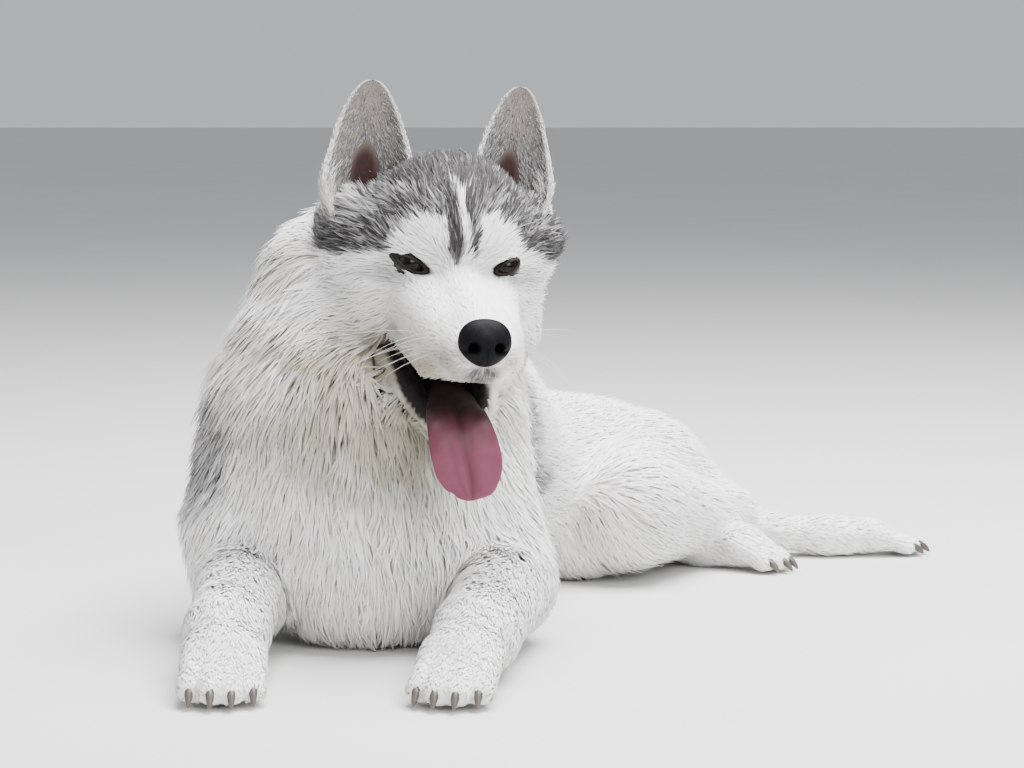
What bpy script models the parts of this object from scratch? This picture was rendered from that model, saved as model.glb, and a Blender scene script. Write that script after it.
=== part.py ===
"""A life-size Siberian husky lying on its belly, head up and turned, mouth open, tongue out.

Metres, +Z up, the floor at z = 0 and the animal's face toward -Y. X grows toward the animal's left.
The body is one smooth blend of tapered eggs, cut into named parts that meet face to face.
"""
import math

import bmesh
import bpy
import numpy as np
from mathutils import Matrix

# Clearance between two parts that meet, and the level of the floor.
GAP = 0.0003
SEAT_GAP = 0.0004
JAW_GAP = 0.0010
FLOOR = 0.0

# The frame's origin: on the floor, on the flat under the breastbone.
ORIGIN = np.array([-0.114, 0.075, 0.0])

# The head is turned on the neck: its own frame has the eyes' midpoint at the origin, the nose toward -Y.
HEAD_AT = np.array([-0.040, 0.0, 0.306])
HEAD_YAW = math.radians(13.6)
HEAD_PITCH = math.radians(0.2)
HEAD_ROLL = math.radians(2.6)

# How softly neighbouring forms run into each other, for the face, the limbs and the trunk.
FACE_BLEND = 0.005
JAW_BLEND = 0.004
TOE_BLEND = 0.0025
LIMB_BLEND = 0.008
TRUNK_BLEND = 0.010
GROUP_BLEND = 0.0045

# The coat: below SHORT_COAT it is part of the surface, from LONG_COAT it stands out of a lower core in locks.
SHORT_COAT = 0.017
LONG_COAT = 0.027
LOCK_COAT = 0.0195
CORE_SHARE = 0.48
SHARE_BLEND = 0.010
LOCK_SINK = 0.009
LOCK_STEPS = (0.0, 0.36, 0.72, 1.0)
LOCK_WIDTHS = (0.80, 1.0, 0.66)
LOCK_HEIGHTS = (0.0, 0.26, 0.48, 0.60)
LOCK_THICKNESS = 0.17
# A lock is kept where each length of it keeps its run, within these shares, and bends round no sharp corner.
SHORTEST_RUN = 0.55
LONGEST_RUN = 1.35
LEAST_ALIKE = 0.10

# Fineness of the first skin of each blend, and the triangles it keeps.
BODY_VOXEL = 0.0060
HEAD_VOXEL = 0.0022
JAW_VOXEL = 0.0020
PAW_VOXEL = 0.0030
BODY_TRIANGLES = 2300
HEAD_TRIANGLES = 3000
JAW_TRIANGLES = 560
PAW_TRIANGLES = 420

# How far the toes' tips lie behind the paw's: the outer pair and the inner pair.
OUTER_TOE_BACK = 0.020
INNER_TOE_BACK = 0.012
CLAW_RADIUS = 0.0030
CLAW_LENGTH = 0.0115
CLAW_FLOOR = 0.0030

# Eyes, in the head's frame.
EYE_X = 0.0375
EYE_Y = 0.0110
EYE_RADIUS = 0.0125
LID_THICK = 0.0016
EYE_OUTWARD = math.radians(14)
EYE_SLANT = math.radians(19)
OPENING_HALF_WIDTH = 0.0130
OPENING_HALF_HEIGHT = 0.0066

WHITE = (0.80, 0.77, 0.71)
GREY = (0.30, 0.29, 0.28)
PALE_GREY = (0.52, 0.50, 0.47)
BLACK = (0.015, 0.014, 0.014)
BROWN = (0.05, 0.022, 0.010)
PINK = (0.62, 0.24, 0.26)

CREASE = math.radians(38)

forms = []


def clear_scene():
    """Start from an empty scene."""
    for thing in list(bpy.data.objects):
        bpy.data.objects.remove(thing, do_unlink=True)
    for mesh in list(bpy.data.meshes):
        bpy.data.meshes.remove(mesh)


def turn_matrix(yaw, pitch, roll):
    """Rotation about Z by yaw, then X by pitch, then Y by roll."""
    cy, sy = math.cos(yaw), math.sin(yaw)
    cp, sp = math.cos(pitch), math.sin(pitch)
    cr, sr = math.cos(roll), math.sin(roll)
    about_z = np.array([[cy, -sy, 0], [sy, cy, 0], [0, 0, 1.0]])
    about_x = np.array([[1.0, 0, 0], [0, cp, -sp], [0, sp, cp]])
    about_y = np.array([[cr, 0, sr], [0, 1.0, 0], [-sr, 0, cr]])
    return about_z @ about_x @ about_y


HEAD_TURN = turn_matrix(HEAD_YAW, HEAD_PITCH, HEAD_ROLL)


def from_head(points):
    """Points of the head's frame, in the world."""
    return np.asarray(points, float) @ HEAD_TURN.T + HEAD_AT


def to_head(points):
    """World points, in the head's frame."""
    return (np.asarray(points, float) - HEAD_AT) @ HEAD_TURN


def form(name, start, end, r_start, r_end, lie, wide=1.0, tall=1.0, up=(0, 0, 1), coat=0.02, blend=TRUNK_BLEND):
    """A tapered egg from start to end: its section is wide across and tall along up, its coat lies along lie."""
    start, end = np.array(start, float), np.array(end, float)
    length = np.linalg.norm(end - start)
    axis = (end - start) / length
    side = np.cross(axis, np.array(up, float))
    side /= np.linalg.norm(side)
    forms.append(dict(name=name, start=start, axis=axis, side=side, top=np.cross(side, axis), length=length,
                      r_start=r_start, r_end=r_end, wide=wide, tall=tall, coat=coat, blend=blend,
                      lie=np.array(lie, float) / np.linalg.norm(lie)))


def head_form(name, start, end, r_start, r_end, lie, both=False, wide=1.0, tall=1.0, up=(0, 0, 1), coat=0.01,
              blend=FACE_BLEND):
    """A form placed in the head's frame, on both sides of it when asked."""
    for hand in (1, -1) if both else (1,):
        flip = np.array([hand, 1, 1.0])
        tag = {1: "_left", -1: "_right"}[hand] if both else ""
        form(name + tag, from_head(np.array(start) * flip), from_head(np.array(end) * flip), r_start, r_end,
             HEAD_TURN @ (np.array(lie, float) * flip), wide, tall, HEAD_TURN @ (np.array(up, float) * flip), coat,
             blend)


def reach(f, p):
    """Signed distance from points to one egg, to first order: negative inside."""
    q = p - f["start"]
    s, u, v = q @ f["axis"], q @ f["side"], q @ f["top"]
    t = np.clip(s / f["length"], 0, 1)
    radius = f["r_start"] + (f["r_end"] - f["r_start"]) * t
    past = s - t * f["length"]
    size = np.sqrt(past ** 2 + (u / f["wide"]) ** 2 + (v / f["tall"]) ** 2)
    slope = np.sqrt(past ** 2 + (u / f["wide"] ** 2) ** 2 + (v / f["tall"] ** 2) ** 2)
    return (size - radius) / np.clip(slope / np.maximum(size, 1e-9), 0.35, 3.0)


def soft_least(distances, blend):
    """Smooth minimum of several distances: the log of the sum of exp(-d / blend)."""
    least = distances.min(0)
    return least - blend * np.log(np.exp(-(distances - least) / blend).sum(0))


def field(p, members):
    """Signed distance to the blend of all the members, each group of one softness joined first."""
    groups = {}
    for f in members:
        groups.setdefault(f["blend"], []).append(reach(f, p))
    parts = [soft_least(np.stack(rows), blend) for blend, rows in groups.items()]
    return soft_least(np.stack(parts), GROUP_BLEND)


def shares(p, members):
    """How much each member counts at the points: its share falls with its distance."""
    away = np.stack([reach(f, p) for f in members])
    weight = np.exp(-(away - away.min(0)) / SHARE_BLEND)
    return weight / weight.sum(0)


def core(p, members):
    """Signed distance to the coat's dense core, set under the blend where the coat is long."""
    coat = shares(p, members).T @ np.array([f["coat"] for f in members])
    long = np.clip((coat - SHORT_COAT) / (LONG_COAT - SHORT_COAT), 0, 1)
    return field(p, members) + CORE_SHARE * coat * long


def settle(p, measure, rounds=4, stride=0.0006, farthest=0.005):
    """Move points down the slope of measure until it is zero there."""
    for _ in range(rounds):
        slope = np.empty_like(p)
        for i in range(3):
            step = np.zeros(3)
            step[i] = stride
            slope[:, i] = (measure(p + step) - measure(p - step)) / (2 * stride)
        move = -slope * (measure(p) / np.maximum((slope ** 2).sum(1), 0.1))[:, None]
        size = np.linalg.norm(move, axis=1)
        p = p + move * np.minimum(1, farthest / np.maximum(size, 1e-9))[:, None]
    return p


def add_mesh(name, points, faces):
    """A mesh object of the points and faces, in the scene."""
    mesh = bpy.data.meshes.new(name)
    mesh.from_pydata(np.asarray(points, float).tolist(), [], [tuple(f) for f in faces])
    mesh.update()
    thing = bpy.data.objects.new(name, mesh)
    bpy.context.scene.collection.objects.link(thing)
    return thing


def grid_faces(rows, columns):
    """Quads of a tube of rows rings with columns points each, its two ends closed by one face each."""
    r, c = np.meshgrid(np.arange(rows - 1), np.arange(columns), indexing="ij")
    a = (r * columns + c).ravel()
    b = (r * columns + (c + 1) % columns).ravel()
    quads = np.stack([a, b, b + columns, a + columns], 1).tolist()
    last = (rows - 1) * columns
    return quads + [list(range(columns))[::-1], list(range(last, last + columns))]


def egg(f, around=20, along=14):
    """Points and faces of one form, its poles on its axis."""
    down = np.linspace(0.08, math.pi - 0.08, along)
    turn = np.linspace(0, 2 * math.pi, around, endpoint=False)
    far = -np.cos(down) > 0
    radius = np.where(far, f["r_end"], f["r_start"])
    middle = f["start"] + np.where(far, f["length"], 0.0)[:, None] * f["axis"]
    ring = f["side"] * (np.cos(turn) * f["wide"])[:, None] + f["top"] * (np.sin(turn) * f["tall"])[:, None]
    pole = middle - (np.cos(down) * radius)[:, None] * f["axis"]
    points = pole[:, None, :] + (np.sin(down) * radius)[:, None, None] * ring[None, :, :]
    return points.reshape(-1, 3), grid_faces(along, around)


def applied(thing):
    """The object with its modifiers made real."""
    graph = bpy.context.evaluated_depsgraph_get()
    mesh = bpy.data.meshes.new_from_object(thing.evaluated_get(graph))
    old = thing.data
    thing.modifiers.clear()
    thing.data = mesh
    bpy.data.meshes.remove(old)
    return thing


def points_of(thing):
    """The mesh's points as an array."""
    flat = np.empty(len(thing.data.vertices) * 3)
    thing.data.vertices.foreach_get("co", flat)
    return flat.reshape(-1, 3)


def set_points(thing, points):
    """Put the mesh's points at these places."""
    thing.data.vertices.foreach_set("co", points.ravel())
    thing.data.update()


def blended(name, members, voxel, triangles):
    """One closed skin round all the members, laid on their blend and thinned to about so many triangles."""
    points, faces, first = [], [], 0
    for f in members:
        own, sides = egg(f)
        points.append(own)
        faces += [[i + first for i in side] for side in sides]
        first += len(own)
    thing = add_mesh(name, np.concatenate(points), faces)
    skin = thing.modifiers.new("skin", "REMESH")
    skin.mode = "VOXEL"
    skin.voxel_size = voxel
    applied(thing)
    keep_largest(thing)
    set_points(thing, settle(points_of(thing), lambda p: core(p, members)))
    corners = thing.modifiers.new("corners", "TRIANGULATE")
    corners.quad_method = "SHORTEST_DIAGONAL"
    applied(thing)
    thin = thing.modifiers.new("thin", "DECIMATE")
    thin.ratio = min(1.0, triangles / len(thing.data.polygons))
    thin.use_collapse_triangulate = True
    return applied(thing)


def keep_largest(thing):
    """Keep only the largest closed surface of the mesh."""
    bm = bmesh.new()
    bm.from_mesh(thing.data)
    bm.verts.ensure_lookup_table()
    unseen, best = set(bm.verts), []
    while unseen:
        island, rest = [], [unseen.pop()]
        while rest:
            vert = rest.pop()
            island.append(vert)
            for edge in vert.link_edges:
                other = edge.other_vert(vert)
                if other in unseen:
                    unseen.remove(other)
                    rest.append(other)
        if len(island) > len(best):
            best = island
    keep = set(best)
    bmesh.ops.delete(bm, geom=[v for v in bm.verts if v not in keep], context="VERTS")
    bm.to_mesh(thing.data)
    bm.free()
    return thing


def cut(thing, other, operation="DIFFERENCE"):
    """Join, cut or meet the object with another one; the other stays as it was."""
    step = thing.modifiers.new("cut", "BOOLEAN")
    step.operation = operation
    step.solver = "MANIFOLD"
    step.object = other
    applied(thing)
    return keep_largest(thing)


def copy_of(thing, name, grow=0.0):
    """A copy of the object, its surface moved outward by grow."""
    twin = thing.copy()
    twin.data = thing.data.copy()
    twin.name = name
    bpy.context.scene.collection.objects.link(twin)
    if grow:
        flat = np.empty(len(twin.data.vertices) * 3)
        twin.data.vertices.foreach_get("normal", flat)
        set_points(twin, points_of(twin) + grow * flat.reshape(-1, 3))
    return twin


def clear_of(thing, neighbour, gap):
    """Cut the object clear of its neighbour, moved by the gap to each side in turn."""
    steps = np.eye(3) * gap
    for step in (*steps, *-steps, np.zeros(3)):
        other = copy_of(neighbour, "other")
        set_points(other, points_of(other) + step)
        cut(thing, other)
        drop(other)


def drop(*things):
    """Take helpers out of the scene."""
    for thing in things:
        bpy.data.objects.remove(thing, do_unlink=True)


def cell(name, sides, grow=0.0, reach_out=1.6):
    """A convex block: what lies behind every plane (point, outward normal), each moved out by grow."""
    bm = bmesh.new()
    bmesh.ops.create_cube(bm, size=2 * reach_out)
    for point, normal in sides:
        out = np.array(normal, float) / np.linalg.norm(normal)
        at = np.array(point, float) + out * grow
        everything = bm.verts[:] + bm.edges[:] + bm.faces[:]
        bmesh.ops.bisect_plane(bm, geom=everything, plane_co=at.tolist(), plane_no=out.tolist(), clear_outer=True)
        rim = [edge for edge in bm.edges if edge.is_boundary]
        if rim:
            bmesh.ops.contextual_create(bm, geom=rim)
    bmesh.ops.triangulate(bm, faces=bm.faces[:])
    bmesh.ops.recalc_face_normals(bm, faces=bm.faces[:])
    mesh = bpy.data.meshes.new(name)
    bm.to_mesh(mesh)
    bm.free()
    thing = bpy.data.objects.new(name, mesh)
    bpy.context.scene.collection.objects.link(thing)
    return thing


def take_part(whole, name, sides):
    """Cut the part inside the cell off the whole, which keeps a gap of clearance to it."""
    part = copy_of(whole, name)
    block = cell("cell_" + name, sides)
    wider = cell("wider_" + name, sides, GAP)
    cut(part, block, "INTERSECT")
    cut(whole, wider)
    drop(block, wider)
    return part


def in_world(sides):
    """Planes of the head's frame, in the world."""
    return [(from_head(point), HEAD_TURN @ np.array(normal, float)) for point, normal in sides]


def build_head_forms():
    """The skull, face and muzzle, in the head's frame."""
    lids = EYE_RADIUS + LID_THICK
    head_form("cranium", (0, 0.052, 0.024), (0, 0.095, 0.022), 0.064, 0.064, (0, 1, 0.1), wide=1.10, coat=0.014)
    head_form("temple", (0.050, 0.064, 0.012), (0.052, 0.098, 0.004), 0.045, 0.047, (0.5, 1, -0.1), True, coat=0.020)
    head_form("ear_root", (0.076, 0.096, 0.030), (0.066, 0.094, 0.056), 0.024, 0.015, (0.3, 0.3, 1), True, coat=0.012)
    head_form("ear_front", (0.080, 0.074, 0.018), (0.069, 0.074, 0.041), 0.0225, 0.0165, (0.3, 0.4, 1), True,
              coat=0.012)
    head_form("low_cheek", (0.042, 0.060, -0.034), (0.046, 0.095, -0.047), 0.041, 0.047, (0.5, 1, -0.5), True,
              coat=0.022)
    head_form("face", (0.029, 0.026, -0.018), (0.046, 0.050, -0.012), 0.0225, 0.034, (0.5, 1, -0.1), True, coat=0.009)
    head_form("brow", (0.017, 0.012, 0.016), (0.041, 0.022, 0.017), 0.0150, 0.0175, (0.3, 0.6, 0.8), True, coat=0.007)
    head_form("lids", (EYE_X, EYE_Y, 0), (EYE_X + 0.001, EYE_Y + 0.006, 0), lids, lids, (0.6, 0.6, 0.4), True,
              coat=0.002)
    head_form("forehead", (0, 0.032, 0.022), (0, 0.048, 0.046), 0.030, 0.040, (0, 0.5, 0.9), wide=1.1, coat=0.010)
    head_form("bridge", (0, 0.008, -0.014), (0, -0.082, -0.048), 0.0175, 0.0135, (0, 1, 0.35), coat=0.004)
    head_form("muzzle", (0, 0.018, -0.038), (0, -0.070, -0.056), 0.031, 0.0185, (0, 1, 0.1), wide=1.1, coat=0.005)
    head_form("maxilla", (0.026, 0.012, -0.032), (0.018, -0.042, -0.052), 0.025, 0.0225, (0.2, 1, 0), True,
              coat=0.005)
    head_form("pad", (0.0165, -0.036, -0.057), (0.0125, -0.080, -0.061), 0.0205, 0.0155, (0.25, 1, -0.1), True,
              coat=0.004)
    head_form("lip", (0.042, 0.024, -0.057), (0.028, -0.052, -0.074), 0.010, 0.0095, (0.3, 1, -0.15), True,
              coat=0.004)
    head_form("lip_front", (0.028, -0.052, -0.074), (0.006, -0.086, -0.072), 0.0095, 0.0075, (0.3, 1, -0.2), True,
              coat=0.003)
    head_form("occiput", (0, 0.105, 0.020), (0, 0.125, -0.005), 0.060, 0.062, (0, 1, -0.5), wide=1.1, coat=0.024)
    head_form("throat", (0, 0.090, -0.055), (0, 0.125, -0.105), 0.038, 0.055, (0, 0.8, -1), wide=1.2, coat=0.024)


def build_jaw_forms():
    """The lower jaw, hanging open."""
    head_form("jaw", (0.051, 0.066, -0.075), (0.016, -0.042, -0.127), 0.0215, 0.0105, (0.1, 1, 0.1), True, 0.88,
              coat=0.006, blend=JAW_BLEND)
    head_form("chin", (-0.002, -0.036, -0.128), (-0.002, -0.052, -0.130), 0.0115, 0.0105, (0, 1, -0.2), wide=1.5,
              coat=0.005, blend=JAW_BLEND)
    head_form("jaw_floor", (0, 0.075, -0.094), (-0.001, -0.030, -0.129), 0.026, 0.009, (0, 1, -0.3), wide=1.2,
              coat=0.010, blend=JAW_BLEND)


def build_trunk_forms():
    """Neck, chest, back, loin, rump and the upper parts of the limbs."""
    ahead = (0, 1, 0)
    form("neck_top", (-0.075, 0.130, 0.310), (-0.105, 0.190, 0.245), 0.080, 0.085, (-0.1, 0.7, -0.7), 1.1, coat=0.032)
    form("neck", (-0.080, 0.130, 0.272), (-0.118, 0.115, 0.190), 0.090, 0.106, (-0.1, 0.2, -1), 1.1, 1, ahead, 0.034)
    form("ruff_right", (-0.148, 0.115, 0.280), (-0.170, 0.100, 0.200), 0.064, 0.068, (-0.5, 0.2, -1), 1, 1, ahead,
         0.034)
    form("ruff_left", (-0.032, 0.110, 0.250), (-0.058, 0.085, 0.195), 0.044, 0.060, (0.4, 0.2, -1), 1, 1, ahead, 0.030)
    form("chest", (-0.118, 0.064, 0.164), (-0.114, 0.070, 0.076), 0.092, 0.094, (0, 0.1, -1), 1.12, 1, ahead, 0.030)
    form("withers", (-0.110, 0.170, 0.232), (-0.090, 0.270, 0.200), 0.066, 0.060, (0.2, 1, -0.2), coat=0.028)
    form("ribs", (-0.112, 0.130, 0.150), (-0.072, 0.280, 0.130), 0.118, 0.112, (0.3, 1, -0.3), tall=1.12, coat=0.026)
    form("loin", (-0.050, 0.310, 0.098), (0.050, 0.430, 0.078), 0.096, 0.082, (0.6, 0.9, -0.2), coat=0.026)
    form("rump", (0.070, 0.450, 0.070), (0.122, 0.500, 0.062), 0.078, 0.072, (0.6, 0.8, -0.3), coat=0.028)
    form("shoulder_right", (-0.188, 0.100, 0.175), (-0.211, 0.085, 0.086), 0.063, 0.061, (-0.1, 0.3, -1), 1, 1, ahead,
         0.022)
    form("shoulder_left", (-0.046, 0.100, 0.165), (-0.016, 0.065, 0.068), 0.056, 0.048, (0.1, 0.3, -1), 1, 1, ahead,
         0.022)
    form("thigh_left", (0.105, 0.470, 0.068), (0.098, 0.325, 0.068), 0.070, 0.052, (0.6, 0.5, -0.6), coat=0.026)
    form("thigh_right", (0.090, 0.450, 0.045), (0.055, 0.340, 0.042), 0.060, 0.044, (0.4, 0.4, -0.5), coat=0.024)
    form("shin_left", (0.108, 0.330, 0.060), (0.205, 0.452, 0.038), 0.048, 0.027, (0.8, 0.7, -0.3), coat=0.016)
    form("breech_left", (0.150, 0.465, 0.056), (0.195, 0.475, 0.042), 0.052, 0.030, (0.9, 0.4, -0.3), coat=0.028)


def build_limb_forms():
    """Forearms, hocks and paws."""
    form("forearm_right", (-0.212, 0.070, 0.048), (-0.214, -0.085, 0.037), 0.045, 0.030, (0, -1, -0.3), coat=0.012,
         blend=LIMB_BLEND)
    form("forearm_left", (-0.005, 0.045, 0.046), (-0.026, -0.085, 0.037), 0.043, 0.031, (-0.2, -1, -0.3), coat=0.012,
         blend=LIMB_BLEND)
    paw_forms("forepaw_right", (-0.214, -0.085, 0.034), (-0.207, -0.197), 0.030)
    paw_forms("forepaw_left", (-0.026, -0.085, 0.034), (-0.048, -0.200), 0.030)
    form("hock_left", (0.202, 0.458, 0.028), (0.300, 0.464, 0.018), 0.024, 0.0165, (1, 0.1, -0.2), coat=0.009,
         blend=LIMB_BLEND)
    paw_forms("hindpaw_left", (0.300, 0.464, 0.018), (0.394, 0.472), 0.020)
    form("shin_right", (0.060, 0.345, 0.036), (0.115, 0.452, 0.028), 0.040, 0.026, (0.5, 0.9, -0.2), coat=0.014,
         blend=LIMB_BLEND)
    form("hock_right", (0.115, 0.448, 0.026), (0.178, 0.412, 0.022), 0.024, 0.020, (0.9, -0.5, -0.1), coat=0.009,
         blend=LIMB_BLEND)
    paw_forms("hindpaw_right", (0.178, 0.412, 0.022), (0.256, 0.368), 0.024)


def paw_forms(name, wrist, tip, thick):
    """A paw: a back from the wrist and four toes side by side, the outer two shorter."""
    wrist = np.array(wrist, float)
    way = np.array([tip[0], tip[1], wrist[2]]) - wrist
    length = np.linalg.norm(way)
    way /= length
    side = np.array([way[1], -way[0], 0])
    knuckle = wrist + way * length * 0.45
    knuckle[2] = 0.85 * thick
    form(name + "_back", wrist, knuckle, thick * 0.95, thick * 0.88, way, wide=1.08, coat=0.007, blend=LIMB_BLEND)
    for k, place in enumerate((-1.5, -0.5, 0.5, 1.5)):
        recess = OUTER_TOE_BACK if abs(place) > 1 else INNER_TOE_BACK
        base = knuckle + side * place * thick * 0.42 + np.array([0, 0, 0.005])
        end = wrist + way * (length - recess) + side * place * thick * 0.49
        end[2] = 0.42 * thick
        form("%s_toe%d" % (name, k), base, end, thick * 0.43, thick * 0.40, way, coat=0.004, blend=TOE_BLEND)


TAIL_PATH = [(0.140, 0.545, 0.058), (0.138, 0.640, 0.052), (0.060, 0.700, 0.050), (-0.045, 0.700, 0.050),
             (-0.130, 0.650, 0.044), (-0.190, 0.575, 0.028)]
TAIL_RADII = [0.042, 0.052, 0.060, 0.058, 0.046, 0.014]


def build_tail_forms():
    """The bushy tail, laid on the floor behind the body."""
    for i in range(len(TAIL_PATH) - 1):
        along = np.subtract(TAIL_PATH[i + 1], TAIL_PATH[i])
        form("tail%d" % i, TAIL_PATH[i], TAIL_PATH[i + 1], TAIL_RADII[i], TAIL_RADII[i + 1], along, coat=0.036)


def mouth_blocks():
    """Cutters for the open mouth: a wedge from its corners forward, and a vault over the tongue."""
    rows = np.array(MOUTH_WEDGE)
    rings = [np.column_stack([side * rows[:, 0], rows[:, 1:]]) for side in (-1, 1)]
    wedge = closed_solid("wedge", from_head(np.concatenate(rings)), grid_faces(2, len(rows)))
    back, front = from_head([0, 0.030, -0.078]), from_head([0, -0.062, -0.086])
    axis = (front - back) / np.linalg.norm(front - back)
    side = HEAD_TURN @ np.array([1.0, 0, 0])
    vault = dict(start=back, length=np.linalg.norm(front - back), r_start=0.0185, r_end=0.0125, wide=1.75,
                 tall=1.0, axis=axis, side=side, top=np.cross(side, axis))
    points, faces = egg(vault, 24, 16)
    return wedge, closed_solid("vault", points, faces)


# The mouth's wedge in the head's frame, as (half width, y, z): corner, upper lip forward, lower lip back.
MOUTH_WEDGE = [(0.058, 0.036, -0.056), (0.058, 0.008, -0.0655), (0.058, -0.028, -0.0825), (0.060, -0.130, -0.0835),
               (0.060, -0.130, -0.200), (0.044, -0.056, -0.150), (0.056, 0.044, -0.084)]


def loft(path, right, up, half_widths, half_heights, around=12, power=1.0):
    """A closed tube whose oval rings follow the path."""
    turn = np.linspace(0, 2 * math.pi, around, endpoint=False)
    across = np.sign(np.cos(turn)) * np.abs(np.cos(turn)) ** power
    above = np.sign(np.sin(turn)) * np.abs(np.sin(turn)) ** power
    rings = (path[:, None, :] + (half_widths[:, None] * across)[:, :, None] * right[:, None, :]
             + (half_heights[:, None] * above)[:, :, None] * up[:, None, :])
    return rings.reshape(-1, 3), grid_faces(len(path), around)


def smooth_path(keys, count):
    """A smooth curve through the key rows, by cubic pieces, sampled evenly in its parameter."""
    keys = np.asarray(keys, float)
    padded = np.concatenate([2 * keys[:1] - keys[1:2], keys, 2 * keys[-1:] - keys[-2:-1]])
    t = np.linspace(0, len(keys) - 1, count)
    i = np.minimum(t.astype(int), len(keys) - 2)
    w = (t - i)[:, None]
    a, b, c, d = padded[i], padded[i + 1], padded[i + 2], padded[i + 3]
    return 0.5 * (2 * b + (c - a) * w + (2 * a - 5 * b + 4 * c - d) * w ** 2 + (3 * b - a - 3 * c + d) * w ** 3)


def tongue_solid(name, grow=0.0):
    """The tongue: from the back of the jaw, over its front edge and down, wide and thin with a middle groove."""
    path = smooth_path(TONGUE_PATH, 14)
    size = smooth_path(TONGUE_SIZE, 14) + grow
    ahead = np.gradient(path, axis=0)
    ahead /= np.linalg.norm(ahead, axis=1)[:, None]
    if grow:
        path[0] -= ahead[0] * grow
        path[-1] += ahead[-1] * grow
    right = np.tile([1.0, 0, 0], (len(path), 1))
    up = np.cross(ahead, right)
    up /= np.linalg.norm(up, axis=1)[:, None]
    right = np.cross(up, ahead)
    points, faces = loft(path, right, -up, size[:, 0], size[:, 1], TONGUE_AROUND, 0.8)
    rings = points.reshape(len(path), TONGUE_AROUND, 3)
    for groove in (TONGUE_AROUND // 4, 3 * TONGUE_AROUND // 4):
        if np.dot(rings[5, groove] - path[5], up[5]) > 0:
            rings[:, groove] -= up * np.minimum(TONGUE_GROOVE, 0.3 * size[:, 1])[:, None]
    return closed_solid(name, from_head(rings.reshape(-1, 3)), faces)


TONGUE_AROUND = 12
TONGUE_GROOVE = 0.0020
TONGUE_PATH = [(-0.001, 0.030, -0.098), (-0.003, 0.000, -0.104), (-0.006, -0.030, -0.111), (-0.009, -0.052, -0.112),
               (-0.009, -0.066, -0.120), (-0.006, -0.072, -0.135), (-0.002, -0.073, -0.152), (0.000, -0.072, -0.171)]
TONGUE_SIZE = [(0.012, 0.0050), (0.020, 0.0070), (0.022, 0.0075), (0.0235, 0.0070), (0.0255, 0.0062),
               (0.0270, 0.0056), (0.0240, 0.0050), (0.0060, 0.0022)]


def closed_solid(name, points, faces):
    """An object of the points and faces, its faces turned outward and split into triangles."""
    thing = add_mesh(name, points, faces)
    bm = bmesh.new()
    bm.from_mesh(thing.data)
    bmesh.ops.triangulate(bm, faces=bm.faces[:])
    bmesh.ops.recalc_face_normals(bm, faces=bm.faces[:])
    if bm.calc_volume(signed=True) < 0:
        bmesh.ops.reverse_faces(bm, faces=bm.faces[:])
    bm.to_mesh(thing.data)
    bm.free()
    return thing


def eye_solid(name, hand, grow=0.0):
    """An eyeball, a sphere in its seat."""
    bm = bmesh.new()
    bmesh.ops.create_uvsphere(bm, u_segments=12, v_segments=8, radius=EYE_RADIUS + grow)
    place = Matrix.Translation(from_head([EYE_X * hand, EYE_Y, 0]).tolist())
    turn = Matrix(HEAD_TURN.tolist()).to_4x4() @ Matrix.Rotation(math.pi / 2, 4, "X")
    bmesh.ops.transform(bm, matrix=place @ turn, verts=bm.verts[:])
    bmesh.ops.triangulate(bm, faces=bm.faces[:])
    mesh = bpy.data.meshes.new(name)
    bm.to_mesh(mesh)
    bm.free()
    thing = bpy.data.objects.new(name, mesh)
    bpy.context.scene.collection.objects.link(thing)
    return thing


def eye_opening(name, hand):
    """The almond between the lids, as a block along the line of sight that widens toward the front."""
    t = np.linspace(-1, 1, 9)
    upper = OPENING_HALF_HEIGHT * (1 - t ** 2) ** 0.8
    lower = -OPENING_HALF_HEIGHT * 0.75 * (1 - t ** 2) ** 0.9
    x = np.concatenate([t, t[-2:0:-1]]) * OPENING_HALF_WIDTH
    z = np.concatenate([upper, lower[-2:0:-1]])
    slant_x = x * math.cos(EYE_SLANT) - z * math.sin(EYE_SLANT)
    slant_z = x * math.sin(EYE_SLANT) + z * math.cos(EYE_SLANT)
    rings = []
    for depth, swell in ((0.0, 0.90), (-0.030, 1.12)):
        local = np.stack([slant_x * swell, np.full(len(x), depth), slant_z * swell], 1)
        c, s = math.cos(EYE_OUTWARD), math.sin(EYE_OUTWARD)
        yawed = np.stack([local[:, 0] * c - local[:, 1] * s, local[:, 0] * s + local[:, 1] * c, local[:, 2]], 1)
        rings.append((yawed + [EYE_X, EYE_Y, 0.0]) * [hand, 1, 1])
    return closed_solid(name, from_head(np.concatenate(rings)), grid_faces(2, len(x)))


def nose_solid(name, grow=0.0):
    """The nose leather: rounded, wider above than below."""
    t = np.linspace(0, 1, 6)
    swell = np.sin(np.clip(t * 0.92 + 0.06, 0, 1) * math.pi) ** 0.42
    y = -0.084 - 0.0215 * t
    z = -0.049 - 0.003 * t
    path = np.stack([np.zeros_like(t), y - grow * np.where(t > 0.5, 1, -1), z], 1)
    right = np.tile([1.0, 0, 0], (len(t), 1))
    up = np.tile([0, 0, 1.0], (len(t), 1))
    turn = np.linspace(0, 2 * math.pi, 14, endpoint=False)
    taper = 1 - 0.22 * np.clip(-np.sin(turn), 0, 1)
    points, faces = loft(path, right, up, swell * 0.0195 + grow, swell * 0.0165 + grow, len(turn), 0.85)
    shaped = points.reshape(len(t), len(turn), 3)
    shaped[:, :, 0] *= taper
    return closed_solid(name, from_head(shaped.reshape(-1, 3)), faces)


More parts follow.
